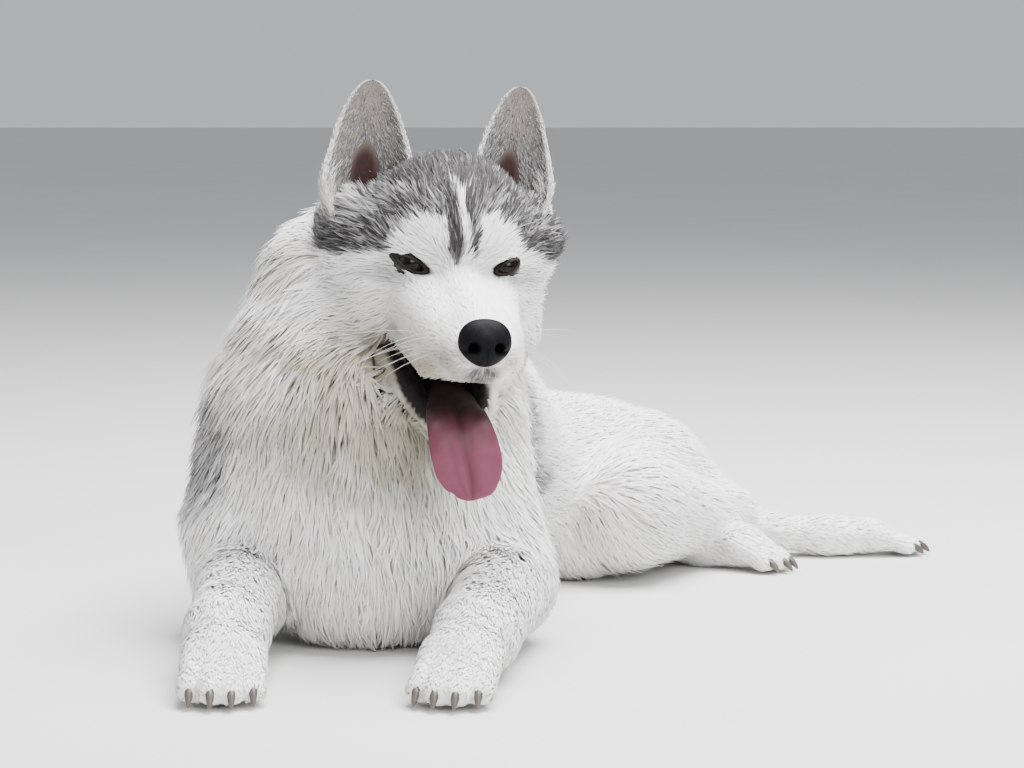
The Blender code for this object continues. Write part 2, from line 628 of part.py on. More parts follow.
def nostril(name, hand):
    """A comma-shaped hollow for one nostril."""
    bm = bmesh.new()
    bmesh.ops.create_uvsphere(bm, u_segments=8, v_segments=5, radius=1.0)
    shape = Matrix.Diagonal((0.0036, 0.0060, 0.0046, 1.0))
    place = Matrix.Translation((0.0088 * hand, -0.1040, -0.0535)) @ Matrix.Rotation(math.radians(-35 * hand), 4, "Y")
    world = Matrix.Translation(HEAD_AT.tolist()) @ Matrix(HEAD_TURN.tolist()).to_4x4()
    bmesh.ops.transform(bm, matrix=world @ place @ shape, verts=bm.verts[:])
    bmesh.ops.triangulate(bm, faces=bm.faces[:])
    mesh = bpy.data.meshes.new(name)
    bm.to_mesh(mesh)
    bm.free()
    thing = bpy.data.objects.new(name, mesh)
    bpy.context.scene.collection.objects.link(thing)
    return thing


EAR_BASE = {1: np.array([0.050, 0.080, 0.024]), -1: np.array([0.063, 0.079, 0.024])}
EAR_TIP = {1: np.array([0.059, 0.070, 0.139]), -1: np.array([0.061, 0.070, 0.139])}
EAR_WIDTH = {1: 0.0388, -1: 0.0430}
EAR_WALL = 0.0030
EAR_ROWS = 9
EAR_ACROSS = 8


def ear_solid(name, hand):
    """A pricked ear: a thick triangular leaf bent into a cup that opens forward, closed at its root."""
    up_t = 1 - (1 - np.linspace(0, 1, EAR_ROWS)) ** 1.5
    root = 0.60 + 0.40 * np.sin(np.minimum(up_t / 0.40, 1) * math.pi / 2)
    half = EAR_WIDTH[hand] * np.sqrt(1 - up_t) * root + 0.0010
    bend = np.radians(118) * (1 - 0.55 * up_t)
    s = np.linspace(-1, 1, EAR_ACROSS)
    angle = s[None, :] * bend[:, None]
    radius = half / np.sin(np.minimum(bend, math.pi / 2))
    middle = EAR_BASE[hand] + (EAR_TIP[hand] - EAR_BASE[hand]) * up_t[:, None]
    sheets = []
    for out in (EAR_WALL / 2, -EAR_WALL / 2):
        r = radius[:, None] + out
        x = middle[:, None, 0] + r * np.sin(angle)
        y = middle[:, None, 1] - 0.35 * radius[:, None] + r * np.cos(angle) * 0.62
        z = middle[:, None, 2] + 0 * x
        sheets.append(np.stack([x, y, z], 2))
    ring = np.concatenate([sheets[0], sheets[1][:, ::-1]], 1)
    points = ring.reshape(-1, 3) * [hand, 1, 1]
    return closed_solid(name, from_head(points), grid_faces(EAR_ROWS, 2 * EAR_ACROSS))


def lock_places(thing, members, count, apart, wanted, seed):
    """Places on the surface, spread evenly by chance, where wanted is true: points and outward directions."""
    chance = np.random.default_rng(seed)
    mesh = thing.data
    mesh.calc_loop_triangles()
    corners = np.empty(len(mesh.loop_triangles) * 3, int)
    mesh.loop_triangles.foreach_get("vertices", corners)
    tri = points_of(thing)[corners.reshape(-1, 3)]
    normal = np.cross(tri[:, 1] - tri[:, 0], tri[:, 2] - tri[:, 0])
    area = np.linalg.norm(normal, axis=1)
    pick = chance.choice(len(tri), 9000, p=area / area.sum())
    a, b = np.sqrt(chance.random(9000)), chance.random(9000)
    mix = np.stack([1 - a, a * (1 - b), a * b], 1)
    points = (tri[pick] * mix[:, :, None]).sum(1)
    on_coat = np.abs(core(points, members)) < 0.004
    coat = shares(points, members).T @ np.array([f["coat"] for f in members])
    outward = normal[pick] / area[pick][:, None]
    use = on_coat & (coat > LOCK_COAT) & wanted(points) & (outward[:, 2] > -0.55)
    points, outward = points[use], outward[use]
    kept = []
    for i in range(len(points)):
        if len(kept) == count:
            break
        if all(np.linalg.norm(points[i] - points[j]) > apart for j in kept):
            kept.append(i)
    return points[kept], outward[kept]


def locks(thing, members, count, apart, length, width, wanted, seed):
    """Join flat tapered locks to the object: each is rooted in its core, lies along the coat and bends over it."""
    roots, outward = lock_places(thing, members, count, apart, wanted, seed)
    chance = np.random.default_rng(seed + 1)
    share = shares(roots, members)
    coat = share.T @ np.array([f["coat"] for f in members])
    ahead = share.T @ np.array([f["lie"] for f in members]) + chance.normal(0, 0.13, (len(roots), 3))
    ahead = along_surface(ahead, outward)
    size = chance.uniform(0.85, 1.15, len(roots))
    sound = np.ones(len(roots), bool)
    here, out, way = roots, outward, ahead
    rings = []
    for k, step in enumerate(LOCK_STEPS):
        if k:
            run = length * size * (step - LOCK_STEPS[k - 1])
            moved = settle(here + way * run[:, None], lambda p: core(p, members), 3)
            stride = np.linalg.norm(moved - here, axis=1) / run
            here, out = moved, outward_of(moved, members)
            way = along_surface(way, out)
            sound &= (stride > SHORTEST_RUN) & (stride < LONGEST_RUN) & ((out * outward).sum(1) > LEAST_ALIKE)
        lift = coat * LOCK_HEIGHTS[k] - (LOCK_SINK if k == 0 else 0)
        middle = here + out * lift[:, None]
        if k == len(LOCK_WIDTHS):
            rings.append(middle)
            continue
        half = np.cross(out, way) * (width / 2 * size * LOCK_WIDTHS[k])[:, None]
        thick = out * (coat * LOCK_THICKNESS)[:, None]
        rings += [middle + half - 0.6 * thick, middle + thick, middle - half - 0.6 * thick]
    return join_solids(thing, np.stack(rings, 1)[sound], spike_faces(len(LOCK_WIDTHS)))


def along_surface(way, out):
    """Directions laid into the surface, of length one."""
    flat = way - out * (way * out).sum(1)[:, None]
    return flat / np.linalg.norm(flat, axis=1)[:, None]


def spike_faces(rings):
    """Faces of a spike of so many three-pointed rings and a tip."""
    sides = [[0, 2, 1]]
    for k in range(rings - 1):
        sides += [[3 * k + i, 3 * k + (i + 1) % 3, 3 * k + 3 + (i + 1) % 3, 3 * k + 3 + i] for i in range(3)]
    return sides + [[3 * rings - 3 + i, 3 * rings - 3 + (i + 1) % 3, 3 * rings] for i in range(3)]


def join_solids(thing, shapes, sides):
    """Join many small solids of the same faces to the object in one union."""
    bundle = bpy.data.collections.new("bundle")
    bpy.context.scene.collection.children.link(bundle)
    for points in shapes:
        solid = closed_solid("piece", points, sides)
        bpy.context.scene.collection.objects.unlink(solid)
        bundle.objects.link(solid)
    join = thing.modifiers.new("join", "BOOLEAN")
    join.operation = "UNION"
    join.solver = "MANIFOLD"
    join.operand_type = "COLLECTION"
    join.collection = bundle
    applied(thing)
    drop(*list(bundle.objects))
    bpy.data.collections.remove(bundle)
    return keep_largest(thing)


def spikes(roots, along, across, length, radius, bend):
    """Tapered spikes from the roots, which bend by so much of their length over their run: rows of ten points."""
    above = np.cross(across, along)
    rows = []
    for step, wide in ((0.0, 1.0), (0.45, 0.85), (0.80, 0.5)):
        middle = roots + (along * step + bend * step ** 2) * length[:, None]
        rows += [middle + (across * math.cos(a) + above * math.sin(a)) * (radius * wide)[:, None]
                 for a in (math.pi / 2, math.pi * 7 / 6, math.pi * 11 / 6)]
    rows.append(roots + (along + bend) * length[:, None])
    return np.stack(rows, 1)


def claws(thing, members):
    """A claw in front of each toe of the paw."""
    toes = [f for f in members if "_toe" in f["name"]]
    ends = np.array([f["start"] + f["axis"] * f["length"] for f in toes])
    ahead = np.array([f["axis"] * [1, 1, 0] for f in toes])
    ahead /= np.linalg.norm(ahead, axis=1)[:, None]
    radius = np.array([f["r_end"] for f in toes])
    roots = ends + ahead * (radius * 0.55)[:, None] + [0, 0, 0.0015]
    across = np.cross(ahead, [0, 0, 1.0])
    drop_by = (CLAW_FLOOR - roots[:, 2]) / CLAW_LENGTH
    bend = np.array([0, 0, 1.0]) * drop_by[:, None]
    length, thick = np.full(len(toes), CLAW_LENGTH), np.full(len(toes), CLAW_RADIUS)
    return join_solids(thing, spikes(roots, ahead, across, length, thick, bend), spike_faces(3))


# Lower teeth of one side in the jaw's frame: place of the root, length and radius, from the canine back.
TEETH = [((0.0125, -0.043, -0.119), 0.0170, 0.0036), ((0.0185, -0.026, -0.112), 0.0085, 0.0030),
         ((0.0230, -0.013, -0.106), 0.0095, 0.0034), ((0.0275, 0.000, -0.100), 0.0105, 0.0038),
         ((0.0325, 0.014, -0.094), 0.0115, 0.0042)]


def teeth(thing):
    """The lower canines and premolars, on the rim of the jaw."""
    rows = []
    for hand in (1, -1):
        roots = np.array([root for root, _, _ in TEETH]) * [hand, 1, 1]
        length = np.array([size for _, size, _ in TEETH])
        radius = np.array([wide for _, _, wide in TEETH])
        up = np.tile([0.10 * hand, -0.12, 1.0], (len(TEETH), 1))
        up /= np.linalg.norm(up, axis=1)[:, None]
        across = np.cross(up, [1.0, 0, 0])
        across /= np.linalg.norm(across, axis=1)[:, None]
        bend = np.tile([0, 0.15, 0], (len(TEETH), 1))
        rows.append(spikes(roots, up, across, length, radius, bend))
    rows = np.concatenate(rows)
    return join_solids(thing, from_head(rows), spike_faces(3))


def outward_of(p, members, stride=0.001):
    """Unit slope of the core's distance at the points."""
    slope = np.stack([core(p + step, members) - core(p - step, members) for step in np.eye(3) * stride], 1)
    return slope / np.linalg.norm(slope, axis=1)[:, None]


def material_for(name, colour, rough):
    """A plain principled material."""
    material = bpy.data.materials.new(name)
    material.use_nodes = True
    shader = material.node_tree.nodes["Principled BSDF"]
    shader.inputs["Base Color"].default_value = (*colour, 1.0)
    shader.inputs["Roughness"].default_value = rough
    return material


clear_scene()
build_head_forms()
head_members = list(forms)
forms.clear()
build_jaw_forms()
jaw_members = list(forms)
forms.clear()
build_trunk_forms()
build_limb_forms()
build_tail_forms()
body_members = list(forms)
neck_members = [f for f in body_members if f["name"] in ("neck_top", "neck", "ruff_right", "ruff_left", "chest")]


whole = blended("torso", head_members + body_members, BODY_VOXEL, BODY_TRIANGLES)
head = blended("head", head_members + neck_members, HEAD_VOXEL, HEAD_TRIANGLES)
jaw = blended("jaw", jaw_members, JAW_VOXEL, JAW_TRIANGLES)
jaw_seat = blended("jaw_seat", [dict(f, r_start=f["r_start"] + JAW_GAP, r_end=f["r_end"] + JAW_GAP)
                                for f in jaw_members], JAW_VOXEL, JAW_TRIANGLES)
jaw_plain = copy_of(jaw, "jaw_plain")
teeth(jaw)
for mouth in mouth_blocks():
    cut(head, mouth)
    cut(whole, mouth)
    drop(mouth)

HEAD_SIDES = in_world([((0, 0.138, 0.085), (0, 0.928, -0.371)), ((0, 0.05, -0.100), (0, 0.0, -1.0))])
head_cell = cell("head_cell", HEAD_SIDES)
head_wider = cell("head_wider", HEAD_SIDES, GAP)
cut(head, head_cell, "INTERSECT")
cut(whole, head_wider)
drop(head_cell, head_wider)

floor_block = cell("floor_block", [((0, 0, FLOOR), (0, 0, 1.0))])
cut(whole, floor_block)
drop(floor_block)

HIND_FRONT = ((0, 0.255, 0), (0, -1, 0))
OVERLAPS = {
    "neck": ("torso",), "head": ("neck", "torso"), "tail": ("torso", "hindleg_left"), "hindleg_left": ("torso",),
    "hindleg_right": ("hindleg_left", "torso"), "hindpaw_right": ("hindleg_left",), "hindpaw_left": ("hindleg_left",),
    "foreleg_left": ("torso",), "foreleg_right": ("torso",), "forepaw_left": ("torso",), "forepaw_right": ("torso",),
}


def clear_of_edges(p):
    """True off the floor and away from the mouth, the face and the ears' roots."""
    q = to_head(p)
    face = (q[:, 1] < 0.056) & (np.abs(q[:, 0]) < 0.085) & (q[:, 2] > -0.100)
    crown = (q[:, 2] > 0.015) & (q[:, 1] < 0.120)
    return (p[:, 2] > 0.022) & ~face & ~crown


LIMB_CELLS = {
    "forepaw_left": [((0, -0.108, 0), (0, 1, 0)), ((-0.120, 0, 0), (-1, 0, 0)), ((0, 0, 0.110), (0, 0, 1))],
    "forepaw_right": [((0, -0.108, 0), (0, 1, 0)), ((-0.130, 0, 0), (1, 0, 0)), ((0, 0, 0.110), (0, 0, 1))],
    "foreleg_left": [((-0.008, 0.030, 0.05), (0.15, 1, 0.45)), ((-0.056, 0, 0.05), (-1, 0.15, 0.35)),
                     ((0, 0, 0.105), (0, 0, 1))],
    "foreleg_right": [((-0.212, 0.036, 0.05), (0, 1, 0.45)), ((-0.180, 0, 0.05), (1, 0.15, 0.35)),
                      ((0, 0, 0.105), (0, 0, 1))],
    "tail": [((0, 0.562, 0), (0, -1, 0))],
    "hindpaw_left": [((0.300, 0.464, 0), (-1, -0.05, 0)), HIND_FRONT],
    "hindpaw_right": [((0.198, 0.386, 0), (-0.78, 0.62, 0)), ((0.256, 0.428, 0), (0, 1, 0)),
                      ((0, 0, 0.060), (0, 0, 1)), HIND_FRONT],
    "hindleg_right": [((0.150, 0.430, 0.046), (-0.35, 0.25, 1.0)), ((0.085, 0.38, 0), (-0.97, 0.243, 0)),
                      ((0.20, 0.442, 0), (0.10, 1, 0)), HIND_FRONT],
    "hindleg_left": [((0.075, 0.380, 0), (-0.97, 0.243, 0)), HIND_FRONT],
}
PAW_ROOTS = {"forepaw_left": "forearm_left", "forepaw_right": "forearm_right", "hindpaw_left": "hock_left",
             "hindpaw_right": "hock_right"}
parts = {"head": head, "jaw": jaw}
for limb, limb_sides in LIMB_CELLS.items():
    if limb not in PAW_ROOTS:
        parts[limb] = take_part(whole, limb, limb_sides)
        continue
    paw_members = [f for f in body_members if f["name"].startswith(limb) or f["name"] == PAW_ROOTS[limb]]
    paw = blended(limb, paw_members, PAW_VOXEL, PAW_TRIANGLES)
    block, wider = cell("block", limb_sides), cell("wider", limb_sides, GAP)
    under = cell("under", [((0, 0, FLOOR), (0, 0, 1.0))])
    cut(paw, block, "INTERSECT")
    claws(paw, paw_members)
    cut(paw, under)
    cut(whole, wider)
    drop(block, wider, under)
    parts[limb] = paw
parts["neck"] = take_part(whole, "neck", [((-0.100, 0.205, 0.300), (0, 0.546, -0.838))])
parts["torso"] = whole

# Locks of each node: the most of them, their spacing, length and width.
LOCK_ROWS = {
    "torso": (58, 0.060, 0.088, 0.058), "neck": (26, 0.046, 0.078, 0.050), "hindleg_left": (12, 0.052, 0.070, 0.050),
    "tail": (18, 0.054, 0.088, 0.054), "head": (16, 0.034, 0.052, 0.036),
}
all_members = head_members + body_members
for seed, (name, (count, apart, length, width)) in enumerate(LOCK_ROWS.items()):
    locks(parts[name], all_members, count, apart, length, width, clear_of_edges, 59 + 2 * seed)
for name, neighbours in OVERLAPS.items():
    for neighbour in neighbours:
        clear_of(parts[name], parts[neighbour], SEAT_GAP)
floor_block = cell("floor_block", [((0, 0, FLOOR), (0, 0, 1.0))])
for name in LOCK_ROWS:
    cut(parts[name], floor_block)
drop(floor_block)

for side_name, hand in (("left", 1), ("right", -1)):
    opening = eye_opening("opening", hand)
    seat = eye_solid("seat", hand, GAP)
    ear = ear_solid("ear_" + side_name, hand)
    ear_seat = copy_of(ear, "ear_seat", SEAT_GAP)
    cut(head, opening)
    cut(head, seat)
    cut(head, ear_seat)
    drop(opening, seat, ear_seat)
    parts["eye_" + side_name] = eye_solid("eye_" + side_name, hand)
    parts["ear_" + side_name] = ear

nose_seat = nose_solid("nose_seat", GAP)
cut(head, nose_seat)
drop(nose_seat)
nose = nose_solid("nose")
for hand in (1, -1):
    hole = nostril("hole", hand)
    cut(nose, hole)
    drop(hole)
parts["nose"] = nose

for neighbour in ("head", "neck", "torso"):
    cut(parts[neighbour], jaw_seat)
    cut(parts[neighbour], jaw_plain)
drop(jaw_seat, jaw_plain)
tongue = tongue_solid("tongue")
tongue_seat = tongue_solid("tongue_seat", GAP)
cut(jaw, tongue_seat)
cut(head, tongue_seat)
cut(parts["neck"], tongue_seat)
drop(tongue_seat)
parts["tongue"] = tongue

LOOKS = {
    "head": (WHITE, 0.8), "jaw": (WHITE, 0.8), "neck": (WHITE, 0.85), "torso": (GREY, 0.85), "tail": (GREY, 0.85),
    "foreleg_left": (WHITE, 0.8), "foreleg_right": (WHITE, 0.8), "forepaw_left": (WHITE, 0.8),
    "forepaw_right": (WHITE, 0.8), "hindleg_left": (WHITE, 0.85), "hindleg_right": (WHITE, 0.85),
    "hindpaw_left": (WHITE, 0.8), "hindpaw_right": (WHITE, 0.8), "ear_left": (PALE_GREY, 0.8),
    "ear_right": (PALE_GREY, 0.8), "eye_left": (BROWN, 0.15), "eye_right": (BROWN, 0.15), "nose": (BLACK, 0.45),
    "tongue": (PINK, 0.4),
}
for name, thing in parts.items():
    thing.name = name
    set_points(thing, points_of(thing) - ORIGIN)
    thing.data.materials.clear()
    thing.data.materials.append(material_for(name, *LOOKS[name]))
    thing.data.shade_smooth()
    thing.data.set_sharp_from_angle(angle=CREASE)
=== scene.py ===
# %% [markdown]
# # A husky at rest, its tongue out
# A dog is flesh under a coat, and the coat is most of what one sees. So the model is made in that order:
# one skin without a seam, then thousands of tufts that grow from it along the lie of the hair, and last the
# bare parts: eyes, nose, mouth, tongue and claws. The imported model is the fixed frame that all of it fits.

# %% The frame
import math

import bpy
import numpy as np
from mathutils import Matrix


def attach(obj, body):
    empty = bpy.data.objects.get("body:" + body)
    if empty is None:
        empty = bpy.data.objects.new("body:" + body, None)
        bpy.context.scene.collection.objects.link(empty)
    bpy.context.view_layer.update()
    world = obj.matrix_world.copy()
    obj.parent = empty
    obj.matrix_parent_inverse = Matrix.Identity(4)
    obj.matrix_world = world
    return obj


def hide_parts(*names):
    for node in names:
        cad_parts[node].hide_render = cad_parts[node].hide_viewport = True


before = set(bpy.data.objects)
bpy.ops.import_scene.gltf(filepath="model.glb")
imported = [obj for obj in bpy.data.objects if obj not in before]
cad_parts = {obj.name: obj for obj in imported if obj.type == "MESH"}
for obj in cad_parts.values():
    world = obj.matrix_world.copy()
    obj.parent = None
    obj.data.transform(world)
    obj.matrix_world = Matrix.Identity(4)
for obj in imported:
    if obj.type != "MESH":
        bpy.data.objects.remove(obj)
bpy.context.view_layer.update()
print("packed nodes:", ", ".join(sorted(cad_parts)))

# %% [markdown]
# The dog was drawn with the camera on the Y axis and the head in a frame of its own, turned a little to the
# side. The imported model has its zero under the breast, so every piece is moved by ORIGIN as it is finished.

# %% Places of the head and of the origin
ORIGIN = np.array([-0.114, 0.075, 0.0])
HEAD_AT = np.array([-0.040, 0.0, 0.306])
HEAD_YAW, HEAD_PITCH, HEAD_ROLL = math.radians(13.6), math.radians(0.2), math.radians(2.6)
EYE_AT = np.array([0.0375, 0.0110, 0.0])
EYE_RADIUS = 0.0125


def turn_matrix(yaw, pitch, roll):
    """Rotation about Z by yaw, then X by pitch, then Y by roll."""
    cy, sy, cp, sp = math.cos(yaw), math.sin(yaw), math.cos(pitch), math.sin(pitch)
    cr, sr = math.cos(roll), math.sin(roll)
    about_z = np.array([[cy, -sy, 0], [sy, cy, 0], [0, 0, 1.0]])
    about_x = np.array([[1.0, 0, 0], [0, cp, -sp], [0, sp, cp]])
    about_y = np.array([[cr, 0, sr], [0, 1.0, 0], [-sr, 0, cr]])
    return about_z @ about_x @ about_y


HEAD_TURN = turn_matrix(HEAD_YAW, HEAD_PITCH, HEAD_ROLL)


def from_head(points):
    """Points of the head's frame (x to the dog's left, -y forward, z up), in the world."""
    return np.asarray(points, float) @ HEAD_TURN.T + HEAD_AT


def to_head(points):
    """World points, in the head's frame."""
    return (np.asarray(points, float) - HEAD_AT) @ HEAD_TURN


def unit(rows):
    """Each row divided by its length."""
    return rows / np.maximum(np.linalg.norm(rows, axis=-1, keepdims=True), 1e-12)


def rise(x, low, high):
    """0 below low, 1 above high, and a smooth S between: t*t*(3 - 2t)."""
    t = np.clip((x - low) / (high - low), 0, 1)
    return t * t * (3 - 2 * t)


print("head turned by", round(math.degrees(HEAD_YAW), 1), "degrees")

# %% [markdown]
# Each muscle or bone is a tapered egg: a start, an end, two radii, and how wide or tall its section is. An
# egg also knows which way the hair over it lies and how deep its coat is. One could model the skin by hand or
# by sculpting, but a blend of eggs keeps every form a few named numbers.

# %% The eggs: head and jaw
flesh, jaw_eggs = [], []
UP, AHEAD = (0, 0, 1), (0, 1, 0)


def egg(where, start, end, r_start, r_end, lie, wide, tall, up, coat, blend, name):
    """Add a tapered egg from start to end to a list; its hair lies along lie and is coat deep."""
    start, end = np.array(start, float), np.array(end, float)
    axis = unit(end - start)
    side = unit(np.cross(axis, np.array(up, float)))
    where.append(dict(start=start, axis=axis, side=side, top=np.cross(side, axis),
                      length=float(np.linalg.norm(end - start)), r_start=r_start, r_end=r_end, wide=wide,
                      tall=tall, coat=coat, blend=blend, lie=unit(np.array(lie, float)), name=name))


def head_egg(where, start, end, r_start, r_end, lie, both, wide, coat, blend, name):
    """An egg placed in the head's frame, on both sides of it when asked."""
    for hand in (1, -1) if both else (1,):
        flip = np.array([hand, 1, 1.0])
        egg(where, from_head(np.array(start) * flip), from_head(np.array(end) * flip), r_start, r_end,
            HEAD_TURN @ (np.array(lie, float) * flip), wide, 1.0, HEAD_TURN @ [0, 0, 1.0], coat, blend, name)


HEAD_BLEND, JAW_BLEND = 0.005, 0.004
LIDS = EYE_RADIUS + 0.0016
# start, end, its two radii, lie of the hair, on both sides, width of the section, depth of the coat, name
HEAD_EGGS = [
    ((0, .052, .024), (0, .095, .022), .064, .064, (0, 1, .1), False, 1.10, .014, "head"),
    ((.050, .064, .012), (.052, .098, .004), .045, .047, (.5, 1, -.1), True, 1, .020, "head"),
    ((.076, .096, .030), (.066, .094, .056), .024, .015, (.3, .3, 1), True, 1, .012, "head"),
    ((.080, .074, .018), (.069, .074, .041), .0225, .0165, (.3, .4, 1), True, 1, .012, "head"),
    ((.042, .060, -.034), (.046, .095, -.047), .041, .047, (.5, 1, -.5), True, 1, .022, "cheek"),
    ((.029, .026, -.018), (.046, .050, -.012), .0225, .034, (.5, 1, -.1), True, 1, .009, "head"),
    ((.017, .012, .016), (.041, .022, .017), .0150, .0175, (.3, .6, .8), True, 1, .007, "head"),
    (EYE_AT, EYE_AT + [.001, .006, 0], LIDS, LIDS, (.6, .6, .4), True, 1, .002, "head"),
    ((0, .032, .022), (0, .048, .046), .030, .040, (0, .5, .9), False, 1.1, .010, "head"),
    ((0, .008, -.014), (0, -.082, -.048), .0175, .0135, (0, 1, .35), False, 1, .004, "muzzle"),
    ((0, .018, -.038), (0, -.070, -.056), .031, .0185, (0, 1, .1), False, 1.1, .005, "muzzle"),
    ((.026, .012, -.032), (.018, -.042, -.052), .025, .0225, (.2, 1, 0), True, 1, .005, "muzzle"),
    ((.0165, -.036, -.057), (.0125, -.080, -.061), .0205, .0155, (.25, 1, -.1), True, 1, .004, "muzzle"),
    ((.042, .024, -.057), (.028, -.052, -.074), .010, .0095, (.3, 1, -.15), True, 1, .004, "muzzle"),
    ((.028, -.052, -.074), (.006, -.086, -.072), .0095, .0075, (.3, 1, -.2), True, 1, .003, "muzzle"),
    ((0, .105, .020), (0, .125, -.005), .060, .062, (0, 1, -.5), False, 1.1, .024, "head"),
    ((0, .090, -.055), (0, .125, -.105), .038, .055, (0, .8, -1), False, 1.2, .024, "cheek"),
]
JAW_EGGS = [
    ((-.051, .066, -.075), (-.016, -.042, -.127), .0215, .0105, (-.1, 1, .1), False, .88, .006),
    ((.046, .066, -.075), (.0085, -.042, -.127), .0200, .0105, (.1, 1, .1), False, .88, .006),
    ((-.002, -.036, -.128), (-.002, -.052, -.130), .0115, .0105, (0, 1, -.2), False, 1.5, .005),
    ((0, .075, -.094), (-.001, -.030, -.129), .026, .009, (0, 1, -.3), False, 1.2, .010),
]
for row in HEAD_EGGS:
    head_egg(flesh, *row[:-1], HEAD_BLEND, row[-1])
for row in JAW_EGGS:
    head_egg(jaw_eggs, *row, JAW_BLEND, "jaw")
print(len(flesh), "eggs in the head,", len(jaw_eggs), "in the jaw")

# %% [markdown]
# The trunk lies on its breast in front and rolls on to one hip behind, so its eggs follow that bend. The
# forearms lie flat, the hind legs come out to one side, and the bushy tail curls behind the body.

# %% The eggs: trunk, legs and tail
TRUNK_BLEND, LEG_BLEND, TOE_BLEND = 0.010, 0.008, 0.0025
# start, end, its two radii, lie of the hair, width and height of the section, its upward, coat, name
TRUNK_EGGS = [
    ((-.075, .130, .310), (-.105, .190, .245), .080, .085, (-.1, .7, -.7), 1.1, 1, UP, .032, "neck"),
    ((-.080, .130, .272), (-.118, .115, .190), .090, .106, (-.1, .2, -1), 1.1, 1, AHEAD, .034, "neck"),
    ((-.148, .115, .280), (-.170, .100, .200), .064, .068, (-.5, .2, -1), 1, 1, AHEAD, .034, "neck"),
    ((-.032, .110, .250), (-.058, .085, .195), .044, .060, (.4, .2, -1), 1, 1, AHEAD, .030, "neck"),
    ((-.118, .064, .164), (-.114, .070, .076), .092, .094, (0, .1, -1), 1.12, 1, AHEAD, .030, "chest"),
    ((-.110, .170, .232), (-.090, .270, .200), .066, .060, (.2, 1, -.2), 1, 1, UP, .028, "back"),
    ((-.112, .130, .150), (-.072, .280, .130), .118, .112, (.3, 1, -.3), 1, 1.12, UP, .026, "back"),
    ((-.050, .310, .098), (.050, .430, .078), .096, .082, (.6, .9, -.2), 1, 1, UP, .026, "back"),
    ((.070, .450, .070), (.122, .500, .062), .078, .072, (.6, .8, -.3), 1, 1, UP, .028, "rump"),
    ((-.188, .100, .175), (-.211, .085, .086), .063, .061, (-.1, .3, -1), 1, 1, AHEAD, .022, "chest"),
    ((-.046, .100, .165), (-.016, .065, .068), .056, .048, (.1, .3, -1), 1, 1, AHEAD, .022, "chest"),
    ((.105, .470, .068), (.098, .325, .068), .070, .052, (.6, .5, -.6), 1, 1, UP, .026, "rump"),
    ((.090, .450, .045), (.055, .340, .042), .060, .044, (.4, .4, -.5), 1, 1, UP, .024, "rump"),
    ((.108, .330, .060), (.205, .452, .038), .048, .027, (.8, .7, -.3), 1, 1, UP, .016, "rump"),
    ((.150, .465, .056), (.195, .475, .042), .052, .030, (.9, .4, -.3), 1, 1, UP, .028, "rump"),
]
# start, end, its two radii, lie of the hair, depth of the coat
LEG_EGGS = [
    ((-.212, .070, .048), (-.214, -.085, .037), .045, .030, (0, -1, -.5), .0075),
    ((-.005, .045, .046), (-.026, -.085, .037), .043, .031, (-.2, -1, -.5), .0075),
    ((.202, .458, .028), (.300, .464, .018), .024, .0165, (1, .1, -.2), .009),
    ((.060, .345, .036), (.115, .452, .028), .040, .026, (.5, .9, -.2), .014),
    ((.115, .448, .026), (.178, .412, .022), .024, .020, (.9, -.5, -.1), .009),
]
for row in TRUNK_EGGS:
    egg(flesh, *row[:-1], TRUNK_BLEND, row[-1])
for start, end, r_start, r_end, lie, coat in LEG_EGGS:
    egg(flesh, start, end, r_start, r_end, lie, 1, 1, UP, coat, LEG_BLEND, "leg")
toes = []
PAW_COAT, TOE_COAT = 0.007, 0.004


def paw(wrist, tip, thick):
    """A paw from the wrist to the tip: its back, and four toes side by side, the outer two shorter."""
    wrist = np.array(wrist, float)
    way = np.array([tip[0], tip[1], wrist[2]]) - wrist
    length = np.linalg.norm(way)
    way = way / length
    side = np.array([way[1], -way[0], 0])
    knuckle = wrist + way * length * 0.45
    knuckle[2] = 0.85 * thick
    lie = way + [0, 0, -.45]
    egg(flesh, wrist, knuckle, thick * .95, thick * .88, lie, 1.08, 1, UP, PAW_COAT, LEG_BLEND, "leg")
    for place in (-1.5, -0.5, 0.5, 1.5):
        recess = 0.020 if abs(place) > 1 else 0.012
        base = knuckle + side * place * thick * 0.42 + np.array([0, 0, 0.005])
        end = wrist + way * (length - recess) + side * place * thick * 0.49
        end[2] = 0.42 * thick
        egg(flesh, base, end, thick * .43, thick * .40, lie, 1, 1, UP, TOE_COAT, TOE_BLEND, "leg")
        toes.append(flesh[-1])


PAWS = [((-.214, -.085, .034), (-.207, -.197), .030), ((-.026, -.085, .034), (-.048, -.200), .030),
        ((.300, .464, .018), (.394, .472), .020), ((.178, .412, .022), (.256, .368), .024)]
for wrist, tip, thick in PAWS:
    paw(wrist, tip, thick)
TAIL = np.array([(.140, .545, .058), (.138, .640, .052), (.060, .700, .050), (-.045, .700, .050),
                 (-.130, .650, .044), (-.190, .575, .028)])
TAIL_RADII = [.042, .052, .060, .058, .046, .014]
TAIL_COAT = 0.036
for i in range(len(TAIL) - 1):
    egg(flesh, TAIL[i], TAIL[i + 1], TAIL_RADII[i], TAIL_RADII[i + 1], TAIL[i + 1] - TAIL[i], 1, 1, UP,
        TAIL_COAT, TRUNK_BLEND, "tail")
print(len(flesh), "eggs in all,", len(toes), "toes")

# %% [markdown]
# A point's distance to each egg is easy to write down. The soft minimum of all of them is the outside of the
# coat: it equals the nearest egg far from the others and rounds off the corner where two meet. The skin lies
# inside it by two to three fifths of the coat's depth, because the tufts then fill the rest.

# %% Distances and the soft minimum
SHARE_BLEND = 0.010
GROUP_BLEND = 0.0045


